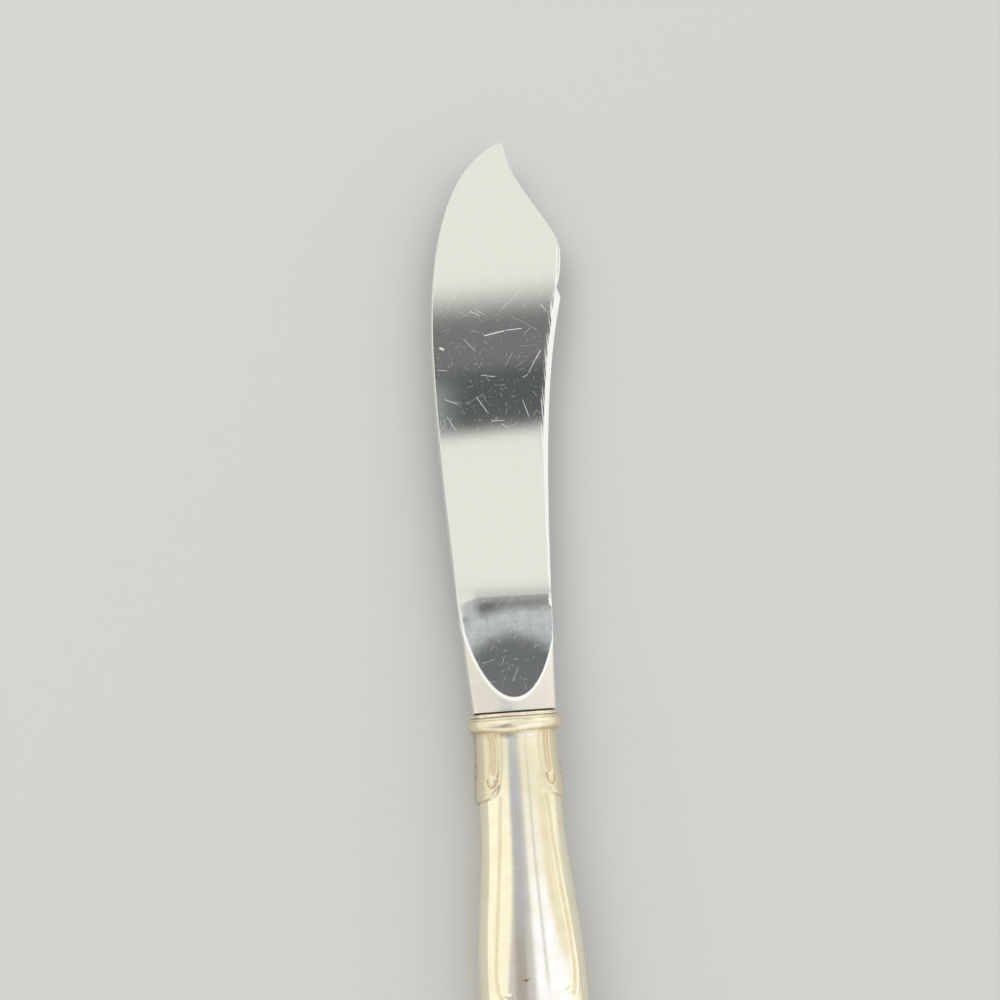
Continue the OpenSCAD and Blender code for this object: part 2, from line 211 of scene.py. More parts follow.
@dataclass(frozen=True)
class Anchor:
    """Where the handle axis meets the blade's shoulder, in the frame of the solids."""

    shoulder_gap: float = 0.2

    @property
    def origin(self) -> Vector:
        """The point in metres, read from the mouth plate's box."""
        low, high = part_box("mouth_plate")
        middle = (low + high) / 2
        return Vector((middle.x, high.y + self.shoulder_gap * MM, middle.z))

    def place(self, points: np.ndarray) -> np.ndarray:
        """Points in knife millimetres, moved to the frame in metres."""
        return np.asarray(self.origin) + np.asarray(points, float) * MM


ANCHOR = Anchor()


def ease(share: np.ndarray) -> np.ndarray:
    """A smooth step from 0 to 1 over a share from 0 to 1."""
    return (1 - np.cos(np.pi * np.clip(share, 0, 1))) / 2


def ramp(place: np.ndarray, start: float, run: float) -> np.ndarray:
    """0 up to a start, easing to 1 over a run."""
    return ease((place - start) / run)


def between(place: np.ndarray, start: Pair, end: Pair) -> np.ndarray:
    """1 between a start and an end, each given with the run over which it eases."""
    return ramp(place, *start) * (1 - ramp(place, *end))


def hill(place: np.ndarray, middle: np.ndarray, width: np.ndarray) -> np.ndarray:
    """A smooth hill that is 1 at its middle."""
    return np.exp(-((place - middle) / width) ** 2)


def smooth_low(first: np.ndarray, second: np.ndarray, blend: np.ndarray) -> np.ndarray:
    """The lower of two heights, with the crease between them rounded.

    Args:
        first: One height.
        second: The other height.
        blend: Difference of height within which the two run into each other.

    Returns:
        The rounded lower height.
    """
    share = np.clip(0.5 + 0.5 * (second - first) / blend, 0, 1)
    return second + (first - second) * share - blend * share * (1 - share)


def bezier(points: Sequence[Sequence[float]], count: int = 240) -> np.ndarray:
    """Points along a cubic curve with two ends and two handles."""
    t = np.linspace(0, 1, count)[:, None]
    a, b, c, d = (np.array(p, float) for p in points)
    return (1 - t) ** 3 * a + 3 * t * (1 - t) ** 2 * b + 3 * t * t * (1 - t) * c + t ** 3 * d


def smooth_path(points: Sequence[Pair], count: int = 14) -> np.ndarray:
    """A smooth line through given points.

    Args:
        points: Places that the line passes through.
        count: Steps between two of them.

    Returns:
        Points along the line.
    """
    p = np.array([points[0], *points, points[-1]], float)
    t = np.linspace(0, 1, count, endpoint=False)[:, None]
    runs = []
    for a, b, c, d in zip(p, p[1:], p[2:], p[3:]):
        runs.append(0.5 * (2 * b + (c - a) * t + (2 * a - 5 * b + 4 * c - d) * t ** 2
                           + (3 * b - a - 3 * c + d) * t ** 3))
    return np.vstack([*runs, p[-1:]])


def steps(runs: Sequence[Run]) -> np.ndarray:
    """Places along several runs, each given by its start, its end and its count of steps."""
    parts = [np.linspace(start, end, count, endpoint=False) for start, end, count in runs]
    return np.concatenate([*parts, [runs[-1][1]]])


def strip(first: np.ndarray, second: np.ndarray) -> list[tuple[int, ...]]:
    """Quads between two rows of points with as many places each."""
    return list(zip(first, first[1:], second[1:], second))


def sheet(grid: np.ndarray) -> list[tuple[int, ...]]:
    """Quads over a grid of point numbers."""
    return [quad for row, below in zip(grid, grid[1:]) for quad in strip(row, below)]


def show(name: str, data: bpy.types.ID) -> bpy.types.Object:
    """Put a new object with its data into the scene, at the origin."""
    thing = bpy.data.objects.new(name, data)
    bpy.context.scene.collection.objects.link(thing)
    return thing


def mesh_piece(name: str, points: np.ndarray, faces: list[tuple[int, ...]]) -> bpy.types.Object:
    """Make a smooth mesh object in the scene.

    Args:
        name: The piece's name.
        points: Its points in knife millimetres.
        faces: Its faces as numbers of points, turned outwards.

    Returns:
        The new object, at the origin.
    """
    mesh = bpy.data.meshes.new(name)
    mesh.from_pydata(ANCHOR.place(points).tolist(), [], faces)
    mesh.update()
    mesh.shade_smooth()
    return show(name, mesh)


def store_finish_layers(piece: bpy.types.Object, finish_layers: dict[str, np.ndarray]) -> None:
    """Keep on a piece how use has marked its points and where light is painted on them, for its finish to
    read.
    """
    for name, values in finish_layers.items():
        piece.data.attributes.new(name, "FLOAT", "POINT").data.foreach_set("value", values)


def signed_volume(points: np.ndarray, faces: Sequence[Sequence[int]]) -> float:
    """Volume inside a closed mesh, below zero where its faces point inwards."""
    total = 0.0
    for face in faces:
        a = points[face[0]]
        for i, j in zip(face[1:], face[2:]):
            total += float(np.dot(a, np.cross(points[i], points[j])))
    return total / 6


def outward(points: np.ndarray, faces: Sequence[Sequence[int]]) -> list[tuple[int, ...]]:
    """The faces of a closed mesh as plain numbers, turned round if they point inwards."""
    faces = [tuple(int(i) for i in face) for face in faces]
    return faces if signed_volume(points, faces) > 0 else [face[::-1] for face in faces]


def settle(piece: bpy.types.Object, slot: str, *nodes: str) -> None:
    """Let a finished piece ride on the knife and stand for its solids.

    Args:
        piece: The finished piece.
        slot: Not used.
        nodes: The solids that it stands for.
    """
    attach(piece, ROOT)
    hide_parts(*nodes)
    LOG.info("%s: %d points, stands for %s", piece.name, len(piece.data.vertices), ", ".join(nodes))


class Finish:
    """A surface finish, which makes its own material."""

    name: str = "finish"

    def material(self) -> bpy.types.Material:
        """A new material with this finish."""
        made = bpy.data.materials.new(self.name)
        made.use_nodes = True
        made.node_tree.nodes.clear()
        graph = Graph(made.node_tree)
        spot = graph.add("ShaderNodeTexCoord", None, None, "Object")
        place = graph.scaled(graph.vector("SUBTRACT", spot, tuple(ANCHOR.origin)), 1 / MM)
        shader = graph.add("ShaderNodeBsdfPrincipled", None, self.sockets(graph, place))
        graph.add("ShaderNodeOutputMaterial", None, {"Surface": shader})
        return made

    def sockets(self, graph: Graph, place: Signal) -> dict:
        """Values and links of the shader's sockets.

        Args:
            graph: The material's nodes.
            place: The place on the piece in knife millimetres.

        Returns:
            Socket names with their values.
        """
        raise NotImplementedError


@dataclass(frozen=True)
class Scratches:
    """Short straight scratches, one at most in each cell of a loose grid."""

    cell: float
    length: float
    width: float
    share: float
    bend: float = 0.0
    seed: float = 0.0
    seed_shift: Triple = (17.3, 9.1, 0.0)
    least_length: float = 0.35
    least_depth: float = 0.45
    share_soft: float = 0.02

    def mask(self, graph: Graph, place: Signal) -> Signal:
        """1 on the scratches and 0 between them."""
        moved = graph.vector("ADD", place, tuple(self.seed * shift for shift in self.seed_shift))
        flat = graph.vector("MULTIPLY", moved, (1.0, 1.0, 0.0))
        cell = graph.add("ShaderNodeTexVoronoi", {"voronoi_dimensions": "2D"},
                         {"Vector": flat, "Scale": 1 / self.cell}, "Position")
        turn, keep, size = graph.split(cell.other("Color"))
        x, y, _ = graph.split(graph.vector("SUBTRACT", flat, cell))
        angle = turn * (2 * math.pi)
        cosine, sine = graph.math("COSINE", angle), graph.math("SINE", angle)
        along = x * cosine + y * sine
        aside = y * cosine - x * sine + along * along * ((turn - 0.5) * self.bend)
        thin = 1 - graph.step(abs(aside), 0.3 * self.width, self.width)
        reach = self.length * (self.least_length + (1 - self.least_length) * size)
        short = 1 - graph.step(abs(along) / reach, 0.6, 1.0)
        kept = 1 - graph.step(keep, self.share, self.share + self.share_soft)
        return thin * short * kept * (self.least_depth + (1 - self.least_depth) * size)


@dataclass(frozen=True)
class Mark:
    """One longer scratch, from one place on the blade to another."""

    start: Pair
    end: Pair
    width: float
    strength: float = 1.0
    fade_in: float = 0.12
    fade_out: float = 0.8

    def mask(self, graph: Graph, x: Signal, y: Signal) -> Signal:
        """1 on the scratch, thinning out at its ends."""
        run = Vector(self.end) - Vector(self.start)
        along_x, along_y = run.normalized()
        from_x, from_y = x - self.start[0], y - self.start[1]
        along = (from_x * along_x + from_y * along_y) / run.length
        aside = abs(from_y * along_x - from_x * along_y)
        ends = graph.step(along, 0.0, self.fade_in) * (1 - graph.step(along, self.fade_out, 1.0))
        return (1 - graph.step(aside, 0.25 * self.width, self.width)) * ends * self.strength


@dataclass(frozen=True)
class PolishedSteel(Finish):
    """Mirror-polished blade steel with a lengthwise grain and the scratches of long use."""

    name: str = "polished_steel"
    colour: Colour = (0.75, 0.755, 0.72)
    scratch_colour: Colour = (0.97, 0.97, 0.95)
    streak_colour: Colour = (0.68, 0.685, 0.655)
    # Painted highlight along the hollow's border, where rim is above zero.
    rim_highlight_colour: Colour = (0.96, 0.96, 0.945)
    # Painted shade in the creases, where rim is below zero.
    crease_shade_colour: Colour = (0.4, 0.41, 0.41)
    roughness: float = 0.055
    scratch_roughness: float = 0.4
    haze_colour: Colour = (0.72, 0.76, 0.77)
    haze_scatter: float = 0.5
    haze_roughness: float = 0.06
    haze_mottle: float = 0.8
    satin_roughness: float = 0.3
    warm_colour: Colour = (0.785, 0.75, 0.7)
    grain_scale: Triple = (7.0, 0.1, 7.0)
    grain_rise: float = 2.2e-7
    grain_roughness: float = 0.04
    wave_scale: Triple = (0.16, 0.09, 0.16)
    wave_rise: float = 9e-7
    cloud_scale: Triple = (0.35, 0.12, 0.35)
    cloud_roughness: float = 0.03
    streak_span: Pair = (0.35, 0.7)
    streak_share: float = 0.25
    fray_span: Pair = (0.45, 0.6)
    scratches: tuple[Scratches, ...] = (
        Scratches(cell=3.1, length=1.3, width=0.024, share=0.5, bend=0.3, seed=1),
        Scratches(cell=1.3, length=0.4, width=0.022, share=0.45, bend=0.6, seed=2),
        Scratches(cell=6.5, length=3.2, width=0.022, share=0.5, bend=0.06, seed=3),
        Scratches(cell=0.9, length=0.07, width=0.045, share=0.3, seed=4),
        Scratches(cell=2.2, length=0.9, width=0.018, share=0.55, bend=0.2, seed=5),
    )
    marks: tuple[Mark, ...] = (
        Mark((7.1, 65.4), (1.9, 59.7), 0.04, 0.7),
        Mark((-0.7, 55.8), (3.1, 56.8), 0.1),
        Mark((2.9, 56.75), (5.7, 57.1), 0.075),
        Mark((-3.8, 55.5), (-1.8, 52.9), 0.045, 0.7),
        Mark((8.2, 53.4), (7.1, 51.6), 0.08, 0.9),
        Mark((7.2, 51.8), (5.8, 49.2), 0.055, 0.8),
        Mark((5.9, 49.3), (4.8, 48.6), 0.05, 0.7),
        Mark((-1.5, 49.2), (1.0, 48.9), 0.05, 0.9),
        Mark((-8.0, 50.2), (-6.3, 50.0), 0.05, 0.8),
        Mark((-7.2, 45.4), (-5.0, 44.4), 0.06, 0.8),
        Mark((4.6, 45.3), (5.5, 41.9), 0.05, 0.8),
        Mark((-2.4, 45.8), (-0.6, 42.8), 0.07, 0.6),
        Mark((-0.4, 41.7), (1.9, 41.8), 0.05, 0.9),
        Mark((-7.0, 42.7), (-5.4, 39.9), 0.045, 0.7),
        Mark((1.1, 41.3), (2.7, 40.0), 0.045, 0.7),
        Mark((3.8, 53.1), (2.2, 50.3), 0.04, 0.5),
        Mark((-2.6, 60.3), (-0.8, 59.2), 0.05, 0.7),
        Mark((-1.9, 60.6), (0.0, 59.4), 0.05, 0.7),
        Mark((-7.5, 53.9), (-6.7, 53.5), 0.3, 0.6),
        Mark((-6.7, 73.7), (-4.0, 72.7), 0.07, 0.8),
        Mark((-6.7, 71.5), (-5.4, 71.0), 0.08, 0.8),
        Mark((-7.5, 68.6), (-5.0, 68.4), 0.06, 0.7),
        Mark((-5.9, 66.9), (-4.4, 66.5), 0.06, 0.7),
        Mark((-0.9, 73.2), (1.5, 73.7), 0.06, 0.6),
        Mark((0.2, 77.4), (2.0, 77.7), 0.06, 0.6),
        Mark((-1.0, 71.6), (1.3, 72.0), 0.05, 0.6),
        Mark((1.1, 70.1), (1.8, 69.6), 0.12, 0.7),
        Mark((2.8, 68.1), (4.9, 68.9), 0.06, 0.6),
        Mark((1.8, 65.5), (4.7, 66.3), 0.05, 0.5),
        Mark((10.2, 74.8), (11.1, 73.1), 0.07, 0.8),
        Mark((8.7, 61.5), (9.8, 59.8), 0.06, 0.8),
        Mark((8.6, 63.6), (9.3, 62.5), 0.05, 0.7),
    )

    def sockets(self, graph: Graph, place: Signal) -> dict:
        """Values and links of the shader's sockets."""
        x, y, _ = graph.split(place)
        grain = graph.streaks(place, self.grain_scale, 3.0, 0.65)
        wave = graph.streaks(place, self.wave_scale, 1.0)
        cloud = graph.streaks(place, self.cloud_scale, 3.0, 0.6)
        rim, fray, haze, satin, warm = graph.finish_layers("rim", "fray", "haze", "satin", "warm")
        small = graph.highest([layer.mask(graph, place) for layer in self.scratches]) * (0.35 + 0.9 * cloud)
        worn = graph.highest([small, *(mark.mask(graph, x, y) for mark in self.marks)])
        worn = graph.math("MINIMUM", worn + fray * graph.step(grain, *self.fray_span), 1.0)
        haze = haze * (0.55 + 0.9 * graph.noise(place, self.haze_mottle, 4.0, 0.65))
        streak = graph.step(grain, *self.streak_span) * self.streak_share
        colour = graph.mix(streak, self.colour, self.streak_colour)
        colour = graph.mix(warm, colour, self.warm_colour)
        colour = graph.mix(haze, colour, self.haze_colour)
        # Painted highlight where rim is above zero.
        colour = graph.mix(graph.math("MAXIMUM", rim, 0.0), colour, self.rim_highlight_colour)
        # Painted shade where rim is below zero.
        colour = graph.mix(graph.math("MAXIMUM", -1 * rim, 0.0), colour, self.crease_shade_colour)
        uneven = self.cloud_roughness * (cloud - 0.5) + self.grain_roughness * (grain - 0.5)
        rubbed = worn * self.scratch_roughness + satin * self.satin_roughness
        return {
            "Metallic": 1 - graph.math("MAXIMUM", haze, worn) * self.haze_scatter,
            "Base Color": graph.mix(worn, colour, self.scratch_colour),
            "Roughness": self.roughness + uneven + haze * self.haze_roughness + rubbed,
            "Normal": graph.bump(grain * self.grain_rise + wave * self.wave_rise),
        }


@dataclass(frozen=True)
class TarnishedSilver(Finish):
    """Warm polished silver, tan in its recesses and faintly scratched."""

    name: str = "tarnished_silver"
    colour: Colour = (0.97, 0.925, 0.74)
    film: Colour = (0.9, 0.82, 0.57)
    dull: Colour = (0.75, 0.67, 0.48)
    tarnish: Colour = (0.56, 0.4, 0.17)
    pit: Colour = (0.13, 0.1, 0.07)
    roughness: float = 0.11
    patch_roughness: float = 0.1
    held_roughness: float = 0.25
    scratch_roughness: float = 0.25
    satin_roughness: float = 0.13
    film_span: Pair = (0.35, 0.75)
    film_share: float = 0.6
    dull_share: float = 0.6
    tarnish_share: float = 0.85
    pit_span: Pair = (1.05, 1.6)
    ripple_rise: float = 1.6e-6
    scratches: tuple[Scratches, ...] = (
        Scratches(cell=1.6, length=0.6, width=0.035, share=0.45, bend=0.5, seed=11),
        Scratches(cell=0.8, length=0.07, width=0.06, share=0.25, seed=12),
    )

    def sockets(self, graph: Graph, place: Signal) -> dict:
        """Values and links of the shader's sockets."""
        recess, satin = graph.finish_layers("recess", "satin")
        broad = graph.noise(place, 0.5, 3.0, 0.6)
        patch = graph.noise(place, 2.6, 3.0, 0.6)
        ripple = graph.noise(place, 0.7, 1.0)
        worn = graph.highest([layer.mask(graph, place) for layer in self.scratches])
        held = graph.math("MINIMUM", recess * (0.35 + 1.1 * patch), 1.0)
        filmed = graph.step(broad, *self.film_span) * self.film_share
        colour = graph.mix(filmed, self.colour, self.film)
        colour = graph.mix(satin * self.dull_share, colour, self.dull)
        colour = graph.mix(held * self.tarnish_share, colour, self.tarnish)
        uneven = self.patch_roughness * (patch - 0.4) + held * self.held_roughness
        rubbed = worn * self.scratch_roughness + satin * self.satin_roughness
        return {
            "Metallic": 1.0,
            "Base Color": graph.mix(graph.step(recess, *self.pit_span), colour, self.pit),
            "Roughness": self.roughness + uneven + rubbed,
            "Normal": graph.bump(ripple * self.ripple_rise),
        }


@dataclass(frozen=True)
class DullMetal(Finish):
    """A dull, mottled metal such as solder or a tarnished plate."""

    name: str = "dull_metal"
    colour: Colour = (0.6, 0.58, 0.54)
    stain: Colour = (0.4, 0.36, 0.3)
    roughness: float = 0.4
    uneven_roughness: float = 0.3
    grain: float = 3.0
    grain_rise: float = 8e-6

    def sockets(self, graph: Graph, place: Signal) -> dict:
        """Values and links of the shader's sockets."""
        mottle = graph.noise(place, self.grain, 4.0, 0.65)
        return {
            "Metallic": 1.0,
            "Base Color": graph.mix(graph.step(mottle, 0.35, 0.7), self.colour, self.stain),
            "Roughness": self.roughness + self.uneven_roughness * (mottle - 0.5),
            "Normal": graph.bump(mottle * self.grain_rise),
        }


@dataclass(frozen=True)
class RosinCement(Finish):
    """Dark brittle rosin cement, grainy and faintly glossy."""

    name: str = "rosin_cement"
    colour: Colour = (0.055, 0.042, 0.03)
    dust: Colour = (0.16, 0.12, 0.08)
    roughness: float = 0.45
    uneven_roughness: float = 0.3
    grain_rise: float = 4e-5

    def sockets(self, graph: Graph, place: Signal) -> dict:
        """Values and links of the shader's sockets."""
        grain = graph.noise(place, 4.0, 5.0, 0.7)
        return {
            "Base Color": graph.mix(graph.step(grain, 0.45, 0.75), self.colour, self.dust),
            "Roughness": self.roughness + self.uneven_roughness * grain,
            "Normal": graph.bump(grain * self.grain_rise),
        }


@dataclass
class KnifeBlade:
    """The forged blade: ground flats, hollow run-out, crowned bolster and tang, in millimetres.

    Places are given across the blade from its middle towards the spine (x) and along it from the shoulder
    towards the tip (y). Pulls are the handles of the outline's curves.
    """

    length: float = 92.0
    shoulder: float = 5.7
    belly_reach: float = 8.7
    belly_y: float = 53.0
    heel_pulls: tuple[Pair, Pair] = ((0.42, 0.26), (1.0, 0.68))
    belly_pull: float = 0.38
    tip: Pair = (4.2, 91.1)
    tip_r: float = 0.9
    tip_pull: Pair = (-10.0, -5.8)
    wing: Pair = (12.2, 62.7)
    back_pulls: tuple[Pair, Pair] = ((0.22, 0.48), (0.34, 0.74))
    notch: Pair = (11.7, 64.5)
    notch_pull: float = 0.6
    hump: Pair = (12.9, 71.5)
    climb_pulls: tuple[Pair, Pair] = ((0.65, 1.7), (0.0, -2.8))
    fall_pulls: tuple[Pair, Pair] = ((-0.1, 4.5), (0.1, -7.0))
    crown_h: float = 3.22
    crown_r: float = 12.3
    crown_blend: float = 0.08
    crown_past: float = 8.0
    hollow_r: float = 150.0
    hollow_angle: float = 7.05
    hollow_foot: float = 1.5
    hollow_blend: float = 0.03
    hollow_bend: float = 0.075
    bend_from: float = 3.0
    bend_start: Pair = (9.5, 4.0)
    haze_top: float = 15.0
    haze_slant: float = 0.22
    haze_fade: float = 2.6
    haze_foot: float = 10.2
    haze_bow: float = 0.08
    haze_soft: float = 3.6
    haze_least: float = 0.16
    haze_sharp: float = 4.0
    bolster_end: float = 20.0
    bolster_sharp: float = 6.0
    bolster_satin: float = 0.45
    satin_place: Pair = (0.8, 1.7)
    crease_satin: float = 0.7
    # Painted shade along the crease where the hollow meets the flat, fading out towards the cutting edge.
    hollow_shade_place: Pair = (0.15, 0.75)
    hollow_shade_side: Pair = (-5.2, 1.5)
    hollow_crease_shade: float = 0.5
    # Painted highlight along the border of the hollow, where the crown meets the grind.
    rim_h: float = 0.055
    rim_span: tuple[Pair, Pair] = ((0.3, 1.0), (13.0, 3.0))
    # Painted shade as a dark line along the middle of the hump's chamfer.
    crease_w: float = 0.07
    crease_share: float = 0.55
    crease_span: tuple[Pair, Pair] = ((66.0, 1.5), (72.5, 2.0))
    heel_h: float = 0.78
    tip_h: float = 0.5
    edge_h: float = 0.25
    edge_run: float = 0.6
    spine_slope: float = 0.4
    spine_step: float = 0.15
    spine_steep: float = 6.0
    chamfer_w: tuple[Pair, ...] = ((0.0, 0.3), (10.0, 0.4), (38.0, 0.7), (57.0, 0.82), (62.7, 1.0))
    chamfer_top: Pair = (12.5, 73.0)
    chamfer_blend: float = 0.02
    chamfer_start: float = 4.0
    chamfer_low: float = 14.0
    chamfer_climb: float = 0.2
    fray_depth: float = 0.035
    fray_waves: tuple[Pair, ...] = ((2.9, 0.0), (4.7, 1.0), (8.3, 2.0))
    fray_fade: float = 3.0
    fray_place: Pair = (0.2, 0.3)
    fray_span: tuple[Pair, Pair] = ((25.0, 12.0), (62.0, 3.0))
    side_h: float = 0.9
    side_round: float = 0.8
    side_swell: float = 2.2
    side_lean: float = 0.4
    side_run: float = 22.0
    side_blend: Pair = (0.03, 1.2)
    end_round: float = 0.12
    least_h: float = 0.05
    wall_bulge: float = 0.06
    wall_shares: tuple[Pair, ...] = ((0.75, 0.5), (1.0, 0.0), (0.75, -0.5))
    tang_len: float = 32.0
    tang_w: Pair = (5.0, 3.6)
    tang_h: float = 1.3
    tang_start: float = 0.3
    key_r: float = 0.6
    key_places: Pair = (0.45, 0.7)
    toe_rows: tuple[float, ...] = (0.0, 0.05, 0.15, 0.35, 0.65)
    rows: tuple[Run, ...] = ((0.12, 16.0, 104), (16.0, 60.0, 52), (60.0, 72.0, 60), (72.0, 90.4, 44))
    tip_rows: Run = (1.0, 0.02, 34)
    columns: int = 108
    edge_columns: int = 16
    edge_crowd: float = 1.7
    edge_band: Pair = (1.1, 0.24)
    finish: PolishedSteel = field(default_factory=PolishedSteel)

    def __post_init__(self) -> None:
        """Trace the outline and work out where the hollow meets the flat."""
        angle = math.radians(self.hollow_angle)
        self.hollow_h = self.heel_h + self.hollow_r * math.cos(angle)
        self.hollow_y = self.hollow_foot + math.sqrt(
            self.hollow_r ** 2 - (self.hollow_h - self.crown_h) ** 2)
        self.flat_start = self.hollow_y - self.hollow_r * math.sin(angle)
        self.edge_line = self._edge_line()
        self.spine_line = self._spine_line()

    def _tip_arc(self, start: float, end: float) -> np.ndarray:
        """Points of the blunt tip between two angles in degrees."""
        turn = np.radians(np.linspace(start, end, 60))
        return np.array(self.tip) + self.tip_r * np.stack([np.cos(turn), np.sin(turn)], 1)

    def _edge_line(self) -> np.ndarray:
        """The cutting edge from the shoulder to the tip."""
        arc = self._tip_arc(120, 90)
        start, reach, rest = -self.shoulder, -self.belly_reach, self.length - self.belly_y
        pulls = [(start + x * (reach - start), y * self.belly_y) for x, y in self.heel_pulls]
        heel = bezier([(start, 0), *pulls, (reach, self.belly_y)])
        belly = bezier([(reach, self.belly_y), (reach, self.belly_y + self.belly_pull * rest),
                        arc[0] + self.tip_pull, arc[0]])
        return np.vstack([heel, belly[1:], arc[1:]])

    def _spine_line(self) -> np.ndarray:
        """The spine from the shoulder over the wing, the notch and the hump to the tip."""
        arc = self._tip_arc(0, 90)
        start, rise = self.shoulder, self.wing[0] - self.shoulder
        wing, notch, hump = (np.array(p) for p in (self.wing, self.notch, self.hump))
        pulls = [(start + x * rise, y * wing[1]) for x, y in self.back_pulls]
        pull = np.array([0, self.notch_pull])
        back = bezier([(start, 0), *pulls, wing])
        dip = bezier([wing, wing + pull, notch - pull, notch])
        climb = bezier([notch, notch + self.climb_pulls[0], hump + self.climb_pulls[1], hump])
        fall = bezier([hump, hump + self.fall_pulls[0], arc[0] + self.fall_pulls[1], arc[0]])
        return np.vstack([back, dip[1:], climb[1:], fall[1:], arc[1:]])

    def edge_at(self, y: np.ndarray) -> np.ndarray:
        """Place of the cutting edge at a distance from the shoulder."""
        return np.interp(y, self.edge_line[:, 1], self.edge_line[:, 0])

    def spine_at(self, y: np.ndarray) -> np.ndarray:
        """Place of the spine at a distance from the shoulder."""
        return np.interp(y, self.spine_line[:, 1], self.spine_line[:, 0])

    def chamfer_line(self, y: np.ndarray) -> np.ndarray:
        """Inner border of the spine's chamfer, frayed up to the wing and straight past the notch."""
        places, widths = zip(*self.chamfer_w)
        wing_x, wing_y = self.wing
        top_x, top_y = self.chamfer_top
        below = self.spine_at(np.minimum(y, wing_y)) - np.interp(y, places, widths)
        beside = wing_x - widths[-1]
        past = beside + (top_x - beside) * (y - wing_y) / (top_y - wing_y)
        fray = sum(np.sin(rate * y + phase) for rate, phase in self.fray_waves)
        fray = fray * (1 - ramp(y, wing_y - self.fray_fade, self.fray_fade))
        return np.where(y < wing_y, below, past) + self.fray_depth * fray

    def ground_h(self, x: np.ndarray, y: np.ndarray) -> np.ndarray:
        """Half thickness of the flat grind and of the hollow, whose crease bends down at the edge."""
        slope = (self.heel_h - self.tip_h) / (self.length - self.flat_start)
        flat = self.heel_h - (y - self.flat_start) * slope
        bend = self.hollow_bend * np.maximum(-x - self.bend_from, 0) ** 2 * ramp(y, *self.bend_start)
        reach = np.maximum(self.hollow_y - y - bend, 0)
        hollow = self.hollow_h - np.sqrt(self.hollow_r ** 2 - reach ** 2)
        return -smooth_low(-flat, -hollow, self.hollow_blend)

    def crown_at(self, x: np.ndarray) -> np.ndarray:
        """Half thickness of the bolster's crown, carried on along the blade."""
        return self.crown_h - (self.crown_r - np.sqrt(np.maximum(self.crown_r ** 2 - x ** 2, 1.0)))

    def finish_layers(self, x: np.ndarray, y: np.ndarray) -> dict[str, np.ndarray]:
        """How use has marked each place, and where light is painted on it.

        Args:
            x: Places across the blade, towards the spine.
            y: Distances from the shoulder.

        Returns:
            "rim", above zero where a highlight is painted along the border of the hollow and below zero
            where shade is painted in the crease of the hump's chamfer and along the hollow's crease,
            "fray", which is 1 along the chamfer's inner border, "haze", which is 1 in the upper part of the
            hollow,
            "satin", which is above zero on the bolster and along the crease, and "warm", which is 1 on the
            bolster.
        """
        rise = self.crown_at(x) - self.ground_h(x, y)
        inner, outer = self.chamfer_line(y), self.spine_at(y)
        # Painted highlight along the border of the hollow.
        border = hill(rise, 0, self.rim_h) * between(y, *self.rim_span)
        # Painted shade as a dark line along the middle of the hump's chamfer.
        middle = inner + self.crease_share * (outer - inner)
        crease = hill(x, middle, self.crease_w) * between(y, *self.crease_span)
        gap, width = self.fray_place
        fray = hill(x, inner - gap, width) * between(y, *self.fray_span)
        foot = self.haze_foot - self.haze_bow * x ** 2
        top = self.haze_top + self.haze_slant * np.minimum(x, 0)
        haze = self.haze_least + (1 - self.haze_least) * ramp(y, foot - self.haze_soft / 2, self.haze_soft)
        haze = haze * ease((top - y) / self.haze_fade) * ease(0.5 + self.haze_sharp * rise)
        # Painted shade along the hollow's crease, kept in stain, fading out towards the cutting edge.
        past, width = self.hollow_shade_place
        stain = self.hollow_crease_shade * hill(y, self.flat_start + past, width) * ramp(x, *self.hollow_shade_side)
        past, width = self.satin_place
        satin = self.crease_satin * hill(y, self.flat_start + past, width)
        warm = np.where(y < self.bolster_end, ease(0.5 - self.bolster_sharp * rise), 0)
        # rim holds the painted highlight (border) less the painted shade (crease and stain).
        return {"rim": border - crease - stain, "fray": fray, "haze": haze,
                "satin": satin + self.bolster_satin * warm, "warm": warm}

    @staticmethod
    def _gap(line: np.ndarray, x: np.ndarray, y: np.ndarray) -> np.ndarray:
        """Distance of places from a line of the outline."""
        across, along = line.T
        apart = 1e-9 * np.arange(len(line))
        lean = np.interp(y, along, np.gradient(across, along + apart))
        return np.abs(x - np.interp(y, along, across)) / np.sqrt(1 + lean ** 2)

    def height(self, x: np.ndarray, y: np.ndarray) -> np.ndarray:
        """Half thickness of the blade at a place.

        Args:
            x: Places across the blade, towards the spine.
            y: Distances from the shoulder.

        Returns:
            Heights above the middle plane.
        """
        crown = np.where(y > self.flat_start + self.crown_past, self.crown_h, self.crown_at(x))
        ground = self.ground_h(x, y)
        top = smooth_low(ground, crown, self.crown_blend)
        slender = ease(y / self.side_run)
        border = self.side_h + (self.edge_h - self.side_h) * slender
        blend = self.side_blend[0] + self.side_blend[1] * (1 - slender)
        for line in (self.edge_line, self.spine_line):
            gap = self._gap(line, x, y)
            inside = np.clip(gap / self.side_round, 0, 1)
            swell = self.side_swell * self.side_round * np.sqrt(inside * (2 - inside))
            rounded = border + swell + self.side_lean * gap
            bevel = border + gap / self.edge_run
            if line is self.spine_line:
                bevel = np.maximum(bevel, border + self.spine_step + self.spine_steep * gap)
            top = smooth_low(top, rounded + (bevel - rounded) * slender, blend)
        chamfer = ground - (x - self.chamfer_line(y)) * self.spine_slope
        chamfer = chamfer + np.maximum(0, self.chamfer_low - y) * self.chamfer_climb
        chamfer = np.where(y < self.chamfer_start, self.crown_h, chamfer)
        top = smooth_low(top, chamfer, self.chamfer_blend)
        toe = np.clip(y / self.end_round, 0, 1)
        return np.maximum(top - self.end_round * (1 - np.sqrt(toe * (2 - toe))), self.least_h)

